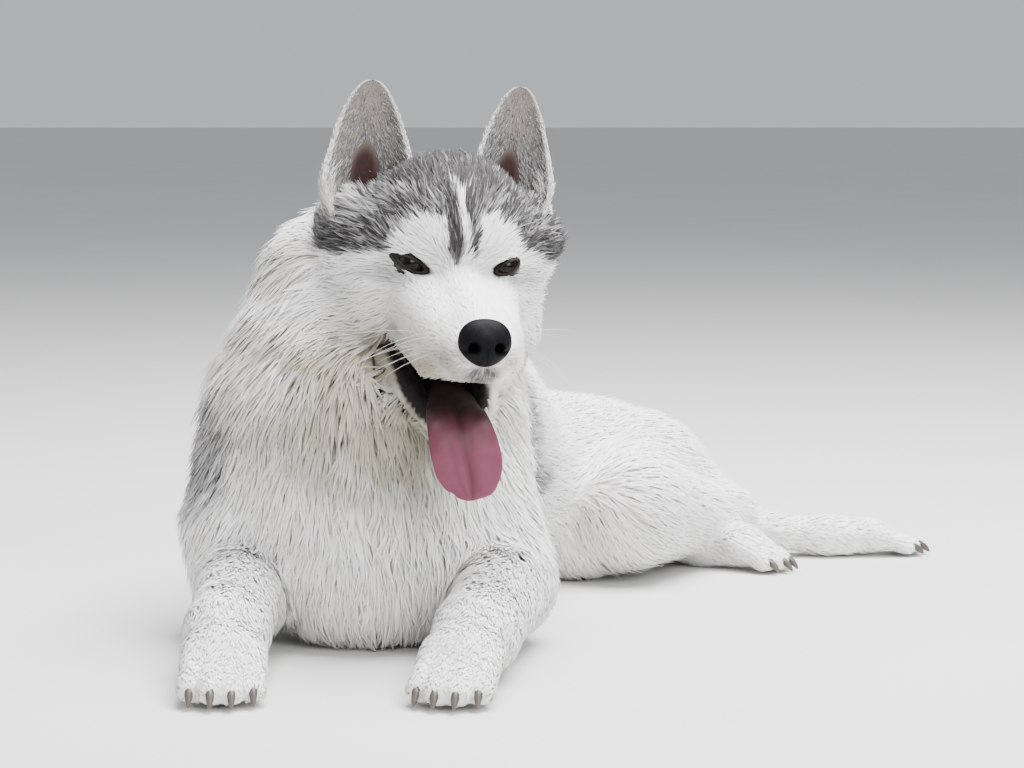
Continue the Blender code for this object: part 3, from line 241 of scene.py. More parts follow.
def reach(f, p):
    """Signed distance from points to one egg, to first order: negative inside."""
    q = p - f["start"]
    s, u, v = q @ f["axis"], q @ f["side"], q @ f["top"]
    t = np.clip(s / f["length"], 0, 1)
    radius = f["r_start"] + (f["r_end"] - f["r_start"]) * t
    past = s - t * f["length"]
    size = np.sqrt(past ** 2 + (u / f["wide"]) ** 2 + (v / f["tall"]) ** 2)
    slope = np.sqrt(past ** 2 + (u / f["wide"] ** 2) ** 2 + (v / f["tall"] ** 2) ** 2)
    return (size - radius) / np.clip(slope / np.maximum(size, 1e-9), 0.35, 3.0)


def soft_least(rows, blend):
    """Smooth minimum down the rows: -blend * log(sum(exp(-row / blend)))."""
    least = rows.min(0)
    return least - blend * np.log(np.exp(-(rows - least) / blend).sum(0))


def blended(away, eggs):
    """Smooth minimum of the distances, each group of one softness first and then the groups."""
    kinds = sorted({f["blend"] for f in eggs})
    groups = [soft_least(away[[i for i, f in enumerate(eggs) if f["blend"] == kind]], kind) for kind in kinds]
    return soft_least(np.stack(groups), GROUP_BLEND)


def weights_of(away):
    """Each egg's share at the points, which falls off as exp(-distance / SHARE_BLEND)."""
    weight = np.exp(-(away - away.min(0)) / SHARE_BLEND)
    return weight / weight.sum(0)


def skin_depth(coat):
    """How far under the coat's outside the skin lies: about 3/5 of a short coat, 2/5 of a long one."""
    return coat * np.interp(coat, (0.004, 0.012, 0.036), (0.62, 0.58, 0.42))


COATS = np.array([f["coat"] for f in flesh])
print("coat from", 1000 * COATS.min(), "to", 1000 * COATS.max(), "mm")

# %% [markdown]
# The open mouth is a wedge with an arched roof, taken away from the head; the jaw is then added back under
# it. The eyes sit in sockets, which are taken away too. Taking away is a soft maximum with the distance's
# sign turned, so the lips come out rounded by themselves.

# %% Mouth and sockets
ROOF = np.array([(-.130, -.0835), (-.028, -.0825), (.008, -.0655), (.036, -.056)])
FLOOR_LINE = np.array([(-.130, -.200), (-.056, -.150), (.044, -.084)])
ROOF_SLOPE, FLOOR_SLOPE = 0.90, 0.82
MOUTH_WIDE, MOUTH_BACK = 0.058, 0.040
SOCKET_RADII, SOCKET_WIDE = (.0049, .0053), 2.0
EYE_SLANT = math.radians(20)
SOLID = 0.5
JAW_SKIN_DEPTH, CUT_BLEND, JOIN_BLEND = 0.0030, 0.0012, 0.0020
hollows = []
egg(hollows, from_head((0, .030, -.078)), from_head((0, -.062, -.086)), .0185, .0125, AHEAD, 1.75, 1.0,
    HEAD_TURN @ [0, 0, 1.0], 0, TRUNK_BLEND, "vault")
for hand in (1, -1):
    centre = EYE_AT * [hand, 1, 1]
    slant = HEAD_TURN @ [-hand * math.sin(EYE_SLANT), 0, math.cos(EYE_SLANT)]
    egg(hollows, from_head(centre + [0, -.004, 0]), from_head(centre + [hand * .004, -.030, 0]),
        *SOCKET_RADII, AHEAD, SOCKET_WIDE, 1.0, slant, 0, TRUNK_BLEND, "socket")


def mouth_gap(p):
    """Signed distance to the mouth's space: the wedge between the lip lines, and the vault of its roof."""
    q = to_head(p)
    curl = 0.38 * np.maximum(q[:, 0] - .014, 0) * (1 - rise(q[:, 1], -.03, .0))
    roof = (q[:, 2] - np.interp(q[:, 1], *ROOF.T) - curl) * ROOF_SLOPE
    low = (np.interp(q[:, 1], *FLOOR_LINE.T) - q[:, 2]) * FLOOR_SLOPE
    wedge = np.maximum.reduce([roof, low, np.abs(q[:, 0]) - MOUTH_WIDE, q[:, 1] - MOUTH_BACK])
    return np.minimum(wedge, reach(hollows[0], p))


def near_mouth(p):
    """True at the points so near the face that mouth, sockets and jaw matter."""
    return (p[:, 1] < 0.15) & (p[:, 2] > 0.12)


def split_level(p):
    """Signed distances to head and body, mouth, sockets and jaw, the last three only near the face."""
    away = np.stack([reach(f, p) for f in flesh])
    weight = weights_of(away)
    body = blended(away, flesh) + skin_depth(weight.T @ COATS)
    near = near_mouth(p)
    mouth, socket, jaw = (np.full(len(p), SOLID) for _ in range(3))
    if near.any():
        q = p[near]
        mouth[near] = mouth_gap(q)
        socket[near] = np.minimum(reach(hollows[1], q), reach(hollows[2], q))
        jaw[near] = blended(np.stack([reach(f, q) for f in jaw_eggs]), jaw_eggs) + JAW_SKIN_DEPTH
    return body, mouth, socket, jaw


def level(p):
    """Signed distance to the skin: the body less mouth and sockets, with the jaw."""
    body, mouth, socket, jaw = split_level(p)
    cut = -soft_least(np.stack([-body, mouth, socket]), CUT_BLEND)
    return soft_least(np.stack([cut, jaw]), JOIN_BLEND)


def in_parts(measure, p, size=60000):
    """Measure many points a part at a time, to spare memory."""
    return np.concatenate([measure(p[i:i + size]) for i in range(0, len(p), size)])


print("level at the nose's root:", level(from_head([(0, -.05, -.03)])).round(4))

# %% [markdown]
# A surface net turns the level into a mesh: space is cut into small cubes, each cube that the surface crosses
# gets one point at the mean of its crossings, and four neighbours round a crossed edge make a face. Blender's
# voxel remesh does the same for a mesh, but here the formula itself is sampled, mouth and sockets included.

# %% Skin: one closed surface
SKIN_PITCH, SKIN_LOWEST = 0.0035, 0.0012


def lattice(n):
    """All whole-number triples from 0 to n - 1."""
    return np.stack(np.meshgrid(*[np.arange(n)] * 3, indexing="ij"), -1).reshape(-1, 3)


def surface_net(low, high, pitch, side=4):
    """Points and quads of the surface where level is zero, looked for in blocks of side cubes near it."""
    block = pitch * side
    count = np.ceil((high - low) / block).astype(int)
    grid = np.stack(np.meshgrid(*[np.arange(n) for n in count], indexing="ij"), -1).reshape(-1, 3)
    kept = grid[np.abs(in_parts(level, low + (grid + 0.5) * block)) < 1.1 * block]
    size = count * side + 1
    strides = np.array([size[1] * size[2], size[2], 1])
    nodes = (kept[:, None] * side + lattice(side + 1)).reshape(-1, 3)
    key, first = np.unique(nodes @ strides, return_index=True)
    value = in_parts(level, low + nodes[first] * pitch)
    cells = (kept[:, None] * side + lattice(side)).reshape(-1, 3)
    cell_key = cells @ strides
    corners = lattice(2)
    v = value[np.searchsorted(key, cell_key[:, None] + corners @ strides)]
    crossed = (v.min(1) < 0) & (v.max(1) >= 0)
    cells, cell_key, v = cells[crossed], cell_key[crossed], v[crossed]
    total, hits = np.zeros((len(v), 3)), np.zeros(len(v))
    for a in range(8):
        for b in range(a + 1, 8):
            if np.abs(corners[a] - corners[b]).sum() != 1:
                continue
            across = (v[:, a] < 0) != (v[:, b] < 0)
            t = np.where(across, v[:, a] / np.where(across, v[:, a] - v[:, b], 1), 0)
            total += across[:, None] * (corners[a] + t[:, None] * (corners[b] - corners[a]))
            hits += across
    order = np.argsort(cell_key)
    quads = []
    for axis in range(3):
        sb, sc = strides[(axis + 1) % 3], strides[(axis + 2) % 3]
        inside, beyond = v[:, 0] < 0, v[:, (4, 2, 1)[axis]] < 0
        for use, turn in ((inside & ~beyond, 1), (~inside & beyond, -1)):
            k = cell_key[use]
            ring = np.stack([k - sb - sc, k - sc, k, k - sb], 1)[:, ::turn]
            at = np.minimum(np.searchsorted(cell_key[order], ring), len(order) - 1)
            whole = (cell_key[order][at] == ring).all(1)
            quads.append(order[at][whole])
    return low + (cells + total / hits[:, None]) * pitch, np.concatenate(quads)


def slope_of(p, stride=0.0006):
    """The level at the points and its gradient, by forward differences."""
    here = level(p)
    return here, np.stack([level(p + step) - here for step in np.eye(3) * stride], 1) / stride


def settled(p, height=0.0, rounds=1, farthest=0.003):
    """The points moved along the gradient until the level there is height: p - g * (level - height) / g.g."""
    for _ in range(rounds):
        here, g = slope_of(p)
        move = -g * ((here - height) / np.maximum((g ** 2).sum(1), 0.1))[:, None]
        p = p + move * np.minimum(1, farthest / np.maximum(np.linalg.norm(move, axis=1), 1e-9))[:, None]
    return p


LOW, HIGH = np.array([-.30, -.25, -.006]), np.array([.43, .79, .46])
skin_points, skin_faces = surface_net(LOW, HIGH, SKIN_PITCH)
skin_points = in_parts(lambda p: settled(p, rounds=2), skin_points)
skin_points[:, 2] = np.maximum(skin_points[:, 2], SKIN_LOWEST)
print("skin:", len(skin_points), "points,", len(skin_faces), "quads")

# %% [markdown]
# Finished pieces all go the same way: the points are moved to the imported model's zero, the faces are put in
# as whole arrays, and every number that a material reads is stored on the points by name.

# %% Meshes from arrays


def piece(name, points, faces, values=None, uvs=None, nodes=(), normals=None):
    """An object of the points and one array of faces, with named values per point and UV maps per corner."""
    mesh = bpy.data.meshes.new(name)
    mesh.vertices.add(len(points))
    mesh.vertices.foreach_set("co", (np.asarray(points, float) - ORIGIN).astype(np.float32).ravel())
    mesh.loops.add(faces.size)
    mesh.loops.foreach_set("vertex_index", faces.astype(np.int32).ravel())
    mesh.polygons.add(len(faces))
    mesh.polygons.foreach_set("loop_start", np.arange(len(faces), dtype=np.int32) * faces.shape[1])
    mesh.polygons.foreach_set("use_smooth", np.full(len(faces), True))
    for key, value in (values or {}).items():
        mesh.attributes.new(key, "FLOAT", "POINT").data.foreach_set("value", np.asarray(value, np.float32))
    for key, uv in (uvs or {}).items():
        mesh.uv_layers.new(name=key).data.foreach_set("uv", uv[faces.ravel()].astype(np.float32).ravel())
    mesh.update(calc_edges=True)
    mesh.validate()
    if normals is not None:
        mesh.normals_split_custom_set_from_vertices(normals.reshape(-1, 3))
    thing = bpy.data.objects.new(name, mesh)
    bpy.context.scene.collection.objects.link(thing)
    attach(thing, "root")
    if nodes:
        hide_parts(*nodes)
    return thing


def tube_faces(rings, around):
    """Triangles of a tube of so many rings with so many points round it, its two ends closed by fans."""
    r, c = np.meshgrid(np.arange(rings - 1), np.arange(around), indexing="ij")
    a, b = (r * around + c).ravel(), (r * around + (c + 1) % around).ravel()
    sides = np.concatenate([np.stack([a, b, b + around], 1), np.stack([a, b + around, a + around], 1)])
    fan = np.arange(1, around - 1)
    last = (rings - 1) * around
    caps = [np.stack([0 * fan, fan + 1, fan], 1), np.stack([0 * fan + last, last + fan, last + fan + 1], 1)]
    return np.concatenate([sides, *caps])


print("a tube of 3 rings of 3 points has", len(tube_faces(3, 3)), "triangles")

# %% [markdown]
# The markings are painted by place, once, for skin and coat alike. In the head's frame the grey cap ends at a
# line through the outer corners of the eyes, with a pale patch over each eye, a thin pale blaze between two
# dark stripes, and white at the roots of the ears.

# %% Markings of the head
CAP_EDGE = np.array([(-.110, .006), (-.092, .004), (-.081, .0046), (-.065, .007), (-.0557, .0105),
                     (-.0518, .020), (-.0449, .0281), (-.0357, .0340), (-.0249, .0366), (-.0135, .0365),
                     (-.0105, .008), (.0115, .008), (.0135, .0335), (.0222, .0375), (.0335, .0330),
                     (.0425, .0255), (.0491, .0150), (.0540, .0115), (.0727, .0023), (.110, .000)])
CAP_BACK = np.array([(-.02, .092), (.02, .100), (.045, .125), (.065, .30)])
EAR_ROOTS = np.array([(0, .20), (.046, .16), (.055, .068), (.066, .056), (.077, .048), (.095, .036)])
BLAZE = [(-.0120, .072, .0004), (-.0075, .063, .0012), (-.0023, .0537, .0024), (.0008, .0402, .0021),
         (.0023, .0243, .0020), (.0053, .0129, .0026), (.0055, -.002, .0070)]
STRIPES = [[(-.0240, .090, .0045), (-.0165, .0754, .0050), (-.0135, .0659, .0048), (-.0095, .0534, .0044),
            (-.0075, .0399, .0040), (-.0060, .0240, .0040), (-.0035, .0103, .0032), (-.0030, -.002, .0012)],
           [(.0010, .068, .0016), (.0045, .0539, .0028), (.0068, .0404, .0028), (.0078, .0275, .0028),
            (.0098, .0122, .0024), (.0115, .001, .0010)]]


def wave(p, size, seed):
    """Smooth noise from -1 to 1: the mean of six sines of random directions, about size long."""
    chance = np.random.default_rng(seed)
    ways = unit(chance.normal(size=(6, 3))) * (2 * math.pi / size) * chance.uniform(0.6, 1.6, (6, 1))
    return np.sin(p @ ways.T + chance.uniform(0, 2 * math.pi, 6)).mean(1) * 2.0


def beside(x, z, path):
    """1 on a line of (x, z, half width) keys and 0 beyond its width, soft at the edge."""
    path = np.array(path)
    best = np.zeros(len(x))
    for (x0, z0, w0), (x1, z1, w1) in zip(path[:-1], path[1:]):
        run = np.array([x1 - x0, z1 - z0])
        t = np.clip(((x - x0) * run[0] + (z - z0) * run[1]) / (run @ run), 0, 1)
        away = np.hypot(x - x0 - t * run[0], z - z0 - t * run[1])
        wide = w0 + (w1 - w0) * t
        best = np.maximum(best, 1 - rise(away, wide * 0.65, wide * 1.35 + 0.0006))
    return best


def oval(u, v, at, size, soft):
    """1 in an oval about at and 0 beyond it, soft between these two shares of its size."""
    return 1 - rise(np.hypot((u - at[0]) / size[0], (v - at[1]) / size[1]), *soft)


def head_marks(p):
    """Grey and dark of the head with painted shade under nose and eyes, the cap, and whisker spots and grey
    under the nose.
    """
    x, y, z = to_head(p).T
    side = np.abs(x)
    ragged = 0.0016 * wave(p, 0.009, 3) + 0.0030 * wave(p, 0.030, 4)
    line = np.interp(x, *CAP_EDGE.T)
    over = rise(z - line + ragged, -.0024, .0030)
    back_edge = np.interp(z, *CAP_BACK.T)
    within = 1 - rise(y + ragged, back_edge - .006, back_edge + .008)
    ears = np.interp(side, *EAR_ROOTS.T)
    root = rise(z - ears + ragged, -.003, .004) * (1 - rise(y, .088, .100)) * rise(side, .016, .024)
    cap = over * within * (1 - root) * rise(p[:, 2], .26, .28)
    front = y < .095
    blaze = beside(x + ragged * .4, z, BLAZE) * front
    stripe = np.maximum(*[beside(x + ragged * .3, z, path) for path in STRIPES]) * front
    blaze = blaze * (1 - .85 * stripe * rise(z, .0, .008))
    grey = np.maximum(cap * (1 - blaze), stripe * (1 - blaze) * rise(z, -.010, .004))
    low_band = (1 - rise(z - line, .004, .026)) * rise(side, .040, .060)
    by_ear = oval(side, z, (.031, .071), (.022, .012), (.5, 1.3)) * (y < .10)
    crown = rise(z, .055, .082) * (1 - rise(side, .020, .040))
    dark = (.48 + .28 * low_band + .40 * by_ear + .44 * crown + .20 * rise(x, .016, .040)
            + .18 * wave(p, .022, 6))
    dark = np.maximum(dark, stripe)
    # Grey under the nose: partly the speckled upper lip, partly painted shade under the nose leather.
    nose_shade_and_speckle = oval(x, z, (0, -.0755), (.0150, .0085), (.5, 1.2)) * (y < -.055)
    dots = rise(wave(p, .0042, 14), .45, .95) * oval(side, z, (.020, -.060), (.016, .012), (.6, 1.1))
    # Painted shade: a faint grey below the outer corner of each eye.
    eye_shade = oval(side, z, (.052, -.0095), (.019, .0075), (.4, 1.5))
    grey = np.maximum.reduce([grey, .85 * nose_shade_and_speckle, .60 * dots * (y < -.010), .48 * eye_shade * front])
    return grey, np.maximum(dark, .70 * np.maximum(nose_shade_and_speckle, dots)), cap, nose_shade_and_speckle + dots


print("grey between the ears:", head_marks(from_head([(0, .05, .07)]))[0].round(2))

# %% [markdown]
# On the body a grey saddle fades over the shoulder blades, and a stripe runs on along spine and tail. The
# throat is cream darkened by painted shade from the head, and so is a patchy ruff behind the head.

# %% Markings of the body
SADDLE_HEM = np.array([(-.25, .095), (-.16, .125), (-.05, .095)])
SADDLE_START = np.array([(-.24, .000), (-.215, .030), (-.19, .095), (-.16, .125)])
SPINE_STRIPE = [(-.06, .33, .040), (.035, .47, .028), (.115, .545, .030)]
TAIL_STRIPE = np.column_stack([TAIL[:, :2], [.030, .036, .038, .036, .028, .010]])


def saddle_marks(p):
    """Grey of the body: the saddle, the band at the nape, and the stripe along spine and tail."""
    bx, by, bz = p.T
    hem = np.interp(bx, *SADDLE_HEM.T)
    over_side = rise(bz - hem, 0, .040) * (1 - rise(bz, .185, .215) * (by < .12) * (bx < -.18))
    start = np.interp(bx, *SADDLE_START.T)
    below_head = 1 - rise(to_head(p)[:, 2], -.06, -.02)
    saddle = over_side * rise(by - start, 0, .035) * (1 - rise(by, .285, .37)) * below_head
    saddle = np.maximum(saddle, rise(by, .195, .225) * rise(bz, .20, .24) * (1 - rise(by, .30, .37)))
    saddle = saddle * (1 - rise(bx, -.060, -.015) * rise(by, .200, .250))
    nape = (1 - rise(np.abs(bx + .088), .042, .072)) * rise(by, .095, .120) * rise(bz, .25, .28)
    saddle = np.maximum(saddle, nape * (1 - rise(by, .28, .34)))
    saddle = np.maximum(saddle, oval(by, bz, (.215, .108), (.048, .020), (.6, 1.1)) * (bx > -.02))
    along = beside(bx, by, SPINE_STRIPE) * rise(bz, .085, .115)
    last = beside(bx, by, TAIL_STRIPE) * rise(bz, .055, .085) * (1 - rise(-bx, .12, .17))
    patchy = .5 + .5 * wave(p, .045, 8)
    return np.maximum(saddle, np.maximum(along * .9, last)) * (.62 + .38 * patchy)


def cream_and_shade_marks(p):
    """Cream tint with painted shade: a little low down, most at the throat under the head, patchy in the
    ruff.
    """
    q = to_head(p)
    bx, by, bz = p.T
    under = rise(.30 - bz, .0, .10) * (by < .30)
    # Painted shade: the throat is darkened as if in the shadow of the head above it.
    throat = oval(bx, bz, (-.100, .200), (.085, .090), (.35, 1.15)) * (by < .13)
    behind = .070 * np.maximum(rise(q[:, 1], .080, .100), rise(np.abs(q[:, 0]), .094, .112))
    # Painted shade in the ruff: patches of cream tint and shade between its locks.
    ruff = rise(bz, .12, .20) * (1 - rise(by, .13, .19)) * (1 - rise(q[:, 2] - behind, -.075, -.045))
    ruff = ruff * (.36 + .38 * wave(p, .040, 10))
    return .03 + .08 * under + .74 * throat + ruff + .04 * rise(by, .22, .38)


def markings(p):
    """Grey, dark, and cream with painted shade, each 0 to 1, at world points of the coat."""
    grey, dark, cap, spots_and_shade = head_marks(p)
    grey = np.maximum(grey, saddle_marks(p) * (1 - cap))
    dark = np.where((cap > .3) | (spots_and_shade > .1), dark, .30 + .22 * wave(p, .030, 9))
    return np.clip(grey, 0, 1), np.clip(dark, 0, 1), np.clip(cream_and_shade_marks(p), 0, 1)


skin_marks = markings(skin_points)
print("grey skin:", int((skin_marks[0] > .5).sum()), "points")

# %% [markdown]
# Some skin stays bare: the inside of the mouth, the black of the lips, the ground under the nose leather, and
# a rim round each eye.

# %% Where no hair grows
LIP_LINE = np.array([(-.060, -.127), (-.045, -.126), (-.020, -.1165), (0, -.1025), (.020, -.084),
                     (.045, -.066)])
JAW_BRANCHES = np.array([(-.042, .010), (.066, .046)])
MOUTH_FLOOR = np.array([(-.030, -.129), (.075, -.094)])


def lip_line(q):
    """Height of the jaw's outer lip line in the head's frame, by how far forward the place is."""
    return np.interp(q[:, 1], *LIP_LINE.T) + .008 * rise(q[:, 0], .002, .010)


def eye_opening(q):
    """Distance from the middle of the nearer eye's opening in the head's frame, as a share of its size."""
    x, z = np.abs(q[:, 0]) - .0368, q[:, 2] + .0012
    across = x * math.cos(EYE_SLANT) + z * math.sin(EYE_SLANT)
    upward = z * math.cos(EYE_SLANT) - x * math.sin(EYE_SLANT)
    reach_out = np.where(q[:, 0] > 0, .0145, np.where(across > 0, .0158, .0182))
    reach_up = np.where(across > .004, .0058, .0067)
    far_behind = 9.0 * (q[:, 1] > .03)
    return np.hypot(across / reach_out, upward / reach_up) + far_behind


def bare_places(p):
    """1 where no hair grows: in the mouth, on the black of the lips, under the nose and at the eyes."""
    _, mouth, _, jaw = split_level(p)
    q = to_head(p)
    on_jaw = np.abs(jaw) < .0022
    inside = (1 - rise(mouth, .0008, .0028)) * ~on_jaw
    jaw_lip = on_jaw * rise(q[:, 2] - lip_line(q), -.0012, .0012) * (q[:, 1] < .045)
    between = np.abs(q[:, 0]) < np.interp(q[:, 1], *JAW_BRANCHES.T)
    above_floor = rise(q[:, 2] - np.interp(q[:, 1], *MOUTH_FLOOR.T), -.001, .002)
    nose = oval(q[:, 0], q[:, 2], (0, -.0515), (.0195, .0165), (.86, 1.0)) * (q[:, 1] < -.083)
    lids = 1 - rise(eye_opening(q), .84, 1.0)
    bare = np.maximum.reduce([inside, jaw_lip, on_jaw * between * above_floor, nose, lids])
    return np.where(near_mouth(p), bare, 0)


skin_bare = in_parts(bare_places, skin_points)
print("bare skin:", int((skin_bare > .5).sum()), "points")

# %% [markdown]
# The coat is made of tufts. Hair curves or particles would be lighter to handle, but only a solid mesh keeps
# its look in every program. A tuft is a thin three-sided spike: it starts inside the skin, rises, and then
# follows the body at its own height, because after each step it is set back on the level for that height.

# %% How many tufts, how long and how wide
COAT_SHARE = 0.84
LEG_SHARE, BELOW_SHARE, PARTING_MORE = 0.30, 0.6, 2.6
UNDERCOAT, UNDERCOAT_WIDER, UNDERCOAT_LOWER = 0.38, 2.7, 0.78
LENGTH_LEAST, LENGTH_RATE = 0.0012, 1.42
WIDTH_LEAST, WIDTH_RATE = 0.00098, 0.0316
LAYERS = np.array([(.004, 4.4), (.008, 4.6), (.014, 5.2), (.024, 6.2), (.036, 6.6)])
LENGTH_SPREAD, WIDTH_SPREAD, HEIGHT_SPREAD = (.74, 1.20), (.62, 1.10), (.55, 1.12)
STRAYS, STRAY_RISE = 0.10, (.1, .45)
LEAN = 0.13
STEEPEST, LEG_FLATTER, LEG_WIDER = 0.38, 0.14, 0.35
ROOT_DEPTH = 0.0012
EYE_CLEAR, MOUTH_CLEAR = 0.80, -0.0030
OWN_ROUNDNESS = 0.28
TUFT_RIDGE, UNDERCOAT_RIDGE = 0.62, 0.30
LOWEST = 0.0006


def tuft_length(coat):
    """Length of the tufts where the coat is so deep: 4 mm by the eyes, 52 mm on the tail."""
    return LENGTH_LEAST + coat * LENGTH_RATE


def tuft_width(coat):
    """Width of a tuft: 1.1 mm on the muzzle, about 2.1 mm in the mane."""
    return WIDTH_LEAST + WIDTH_RATE * coat


def tufts_wanted(coat):
    """Tufts to the square metre, so that about six to nine lie over each other at any place."""
    layers = np.interp(coat, *LAYERS.T)
    return COAT_SHARE * layers / (0.62 * tuft_length(coat) * tuft_width(coat))


quad = skin_points[skin_faces]
quad_normal = np.cross(quad[:, 2] - quad[:, 0], quad[:, 3] - quad[:, 1])
quad_area = np.linalg.norm(quad_normal, axis=1) / 2
quad_middle = quad.mean(1)
coat_eggs = flesh + jaw_eggs
LIES = np.array([f["lie"] for f in coat_eggs])
quad_weight = in_parts(lambda p: weights_of(np.stack([reach(f, p) for f in coat_eggs])).T, quad_middle)
quad_coat = quad_weight @ np.array([f["coat"] for f in coat_eggs])
hidden = (quad_normal[:, 2] < 0) & (quad_middle[:, 2] < .006)
quad_open = 1 - np.maximum(skin_bare[skin_faces].max(1), hidden)
quad_on_leg = quad_weight @ np.array([f["name"] == "leg" for f in coat_eggs], float)
quad_up = quad_normal[:, 2] / (2 * quad_area)
quad_below = rise(-quad_up, .3, .8) * (quad_middle[:, 2] < .12)
parting = 1 - np.linalg.norm(quad_weight @ LIES, axis=1)
quad_count = quad_area * tufts_wanted(quad_coat) * (quad_open > .5)
quad_count = quad_count * (1 - LEG_SHARE * quad_on_leg) * (1 - BELOW_SHARE * quad_below)
quad_count = quad_count * (1 + PARTING_MORE * parting)
print("coat:", int(quad_count.sum()), "tufts on", round(float(quad_area.sum()), 3), "square metres")

# %% [markdown]
# Every tuft is worked out together with all the others of its piece, as arrays: a row of roots, a row of
# directions, and then two or three steps along the body.

# %% The shape of tufts


def scatter(chance, quads, count):
    """So many places on the quads, by chance in proportion to quad_count, each at a mean of its corners."""
    share = quad_count[quads] / quad_count[quads].sum()
    pick = quads[chance.choice(len(quads), count, p=share)]
    u, v = chance.random((2, count, 1))
    c = quad[pick]
    return (c[:, 0] * (1 - u) + c[:, 1] * u) * (1 - v) + (c[:, 3] * (1 - u) + c[:, 2] * u) * v, pick


def spines(roots, way, length, height, steps):
    """Points along each tuft: steps of length along way, each set on the skin's level at its own height."""
    here, slope = slope_of(roots)
    out = unit(slope)
    at = roots - out * here[:, None]
    rows, outs = [at - out * ROOT_DEPTH], [out]
    for past, share in zip(steps[:-1], steps[1:]):
        way = unit(way - out * (way * out).sum(1, keepdims=True))
        rise_to = height * share ** 0.72
        at = at + way * (length * (share - past))[:, None]
        here, slope = slope_of(at)
        out = unit(slope)
        at = at + out * np.clip(rise_to - here, -.006, .006)[:, None]
        rows.append(at)
        outs.append(out)
    return np.stack(rows, 1), np.stack(outs, 1)


def tuft_solids(spine, out, width, ridge=TUFT_RIDGE):
    """Three points round every spine point but the last, which is the tip: (tufts, 3 * (n - 1) + 1, 3)."""
    along = unit(np.gradient(spine, axis=1))
    across = unit(np.cross(along, out))
    above = np.cross(across, along)
    n = spine.shape[1] - 1
    shape = np.interp(np.linspace(0, 1, n), (0, .5, 1), (.80, 1.0, .72))
    half = (width[:, None] * shape[None, :] / 2)[:, :, None]
    ridge = np.broadcast_to(ridge, len(spine))[:, None, None]
    body, side, top = spine[:, :-1], across[:, :-1], above[:, :-1]
    ring = np.stack([body - side * half - top * half * .25, body + side * half - top * half * .25,
                     body + top * half * ridge], 2)
    return np.concatenate([ring.reshape(len(spine), 3 * n, 3), spine[:, -1:]], 1)


def soft_normals(solids, spine, out):
    """Shading normals between the tuft's own roundness and the body's: fine hair is shaded as one mass."""
    n = spine.shape[1] - 1
    own = unit(solids[:, :-1].reshape(-1, n, 3, 3) - spine[:, :-1, None])
    body = OWN_ROUNDNESS * own + out[:, :-1, None]
    return unit(np.concatenate([body.reshape(len(spine), 3 * n, 3), out[:, -1:]], 1))


def tuft_faces(n, count):
    """Triangles of count tufts with n rings of three and a tip: a root cap, sides, and three at the tip."""
    tube = tube_faces(n, 3)
    last = 3 * (n - 1)
    tip = [[last, last + 1, 3 * n], [last + 1, last + 2, 3 * n], [last + 2, last, 3 * n]]
    one = np.concatenate([tube[:-1], tip])
    return (one[None, :, ::-1] + (np.arange(count) * (3 * n + 1))[:, None, None]).reshape(-1, 3)


print("a tuft of 2 rings has", len(tuft_faces(2, 1)), "triangles")

# %% [markdown]
# A tuft is too fine for an unwrap of its own, so each takes a small patch at the place of its root. Then a
# piece of the coat can be made: sizes by chance, spines, solids, and the values that the material reads.

# %% One piece of the coat


def patch_places(roots, members):
    """Each root's place on the skin's unwrap: a tile per egg, the angle round it across, its length up."""
    away = np.stack([reach(coat_eggs[i], roots) for i in members])
    own = away.argmin(0)
    tiles = math.ceil(math.sqrt(len(members)))
    place = np.zeros((len(roots), 2))
    for k, i in enumerate(members):
        f, at = coat_eggs[i], own == k
        q = roots[at] - f["start"]
        turn = np.arctan2(q @ f["top"], q @ f["side"]) / (2 * math.pi) + .5
        size = f["length"] + 2.4 * max(f["r_start"], f["r_end"])
        up = np.clip((q @ f["axis"] + 1.2 * f["r_start"]) / size, 0, 1)
        place[at] = (np.array([k % tiles, k // tiles]) + .04 + .92 * np.column_stack([turn, up])) / tiles
    return place


def tuft_piece(name, solids, rings, marks, tone, places, normals=None, patch=0.003):
    """The piece of these tufts: marks and tone are stored on each, and along goes up it from 0 to 1.

    OFBake gives every tuft a patch at its root's place, across and along it."""
    count, per = len(solids), 3 * rings + 1
    along = (np.repeat(np.arange(rings), 3) / rings).tolist() + [1.0]
    across = np.tile([0, 1, .5], rings).tolist() + [.5]
    uv = (places[:, None] + patch * np.column_stack([across, along])).reshape(-1, 2)
    values = dict(zip(("grey", "dark", "cream_and_shade", "tone"), (*marks, tone)))
    values = {key: np.repeat(value, per) for key, value in values.items()} | {"along": np.tile(along, count)}
    made = piece(name, solids.reshape(-1, 3), tuft_faces(rings, count), values, {"OFBake": uv},
                 normals=normals)
    print(name, count, "tufts,", len(made.data.polygons), "triangles")
    return made


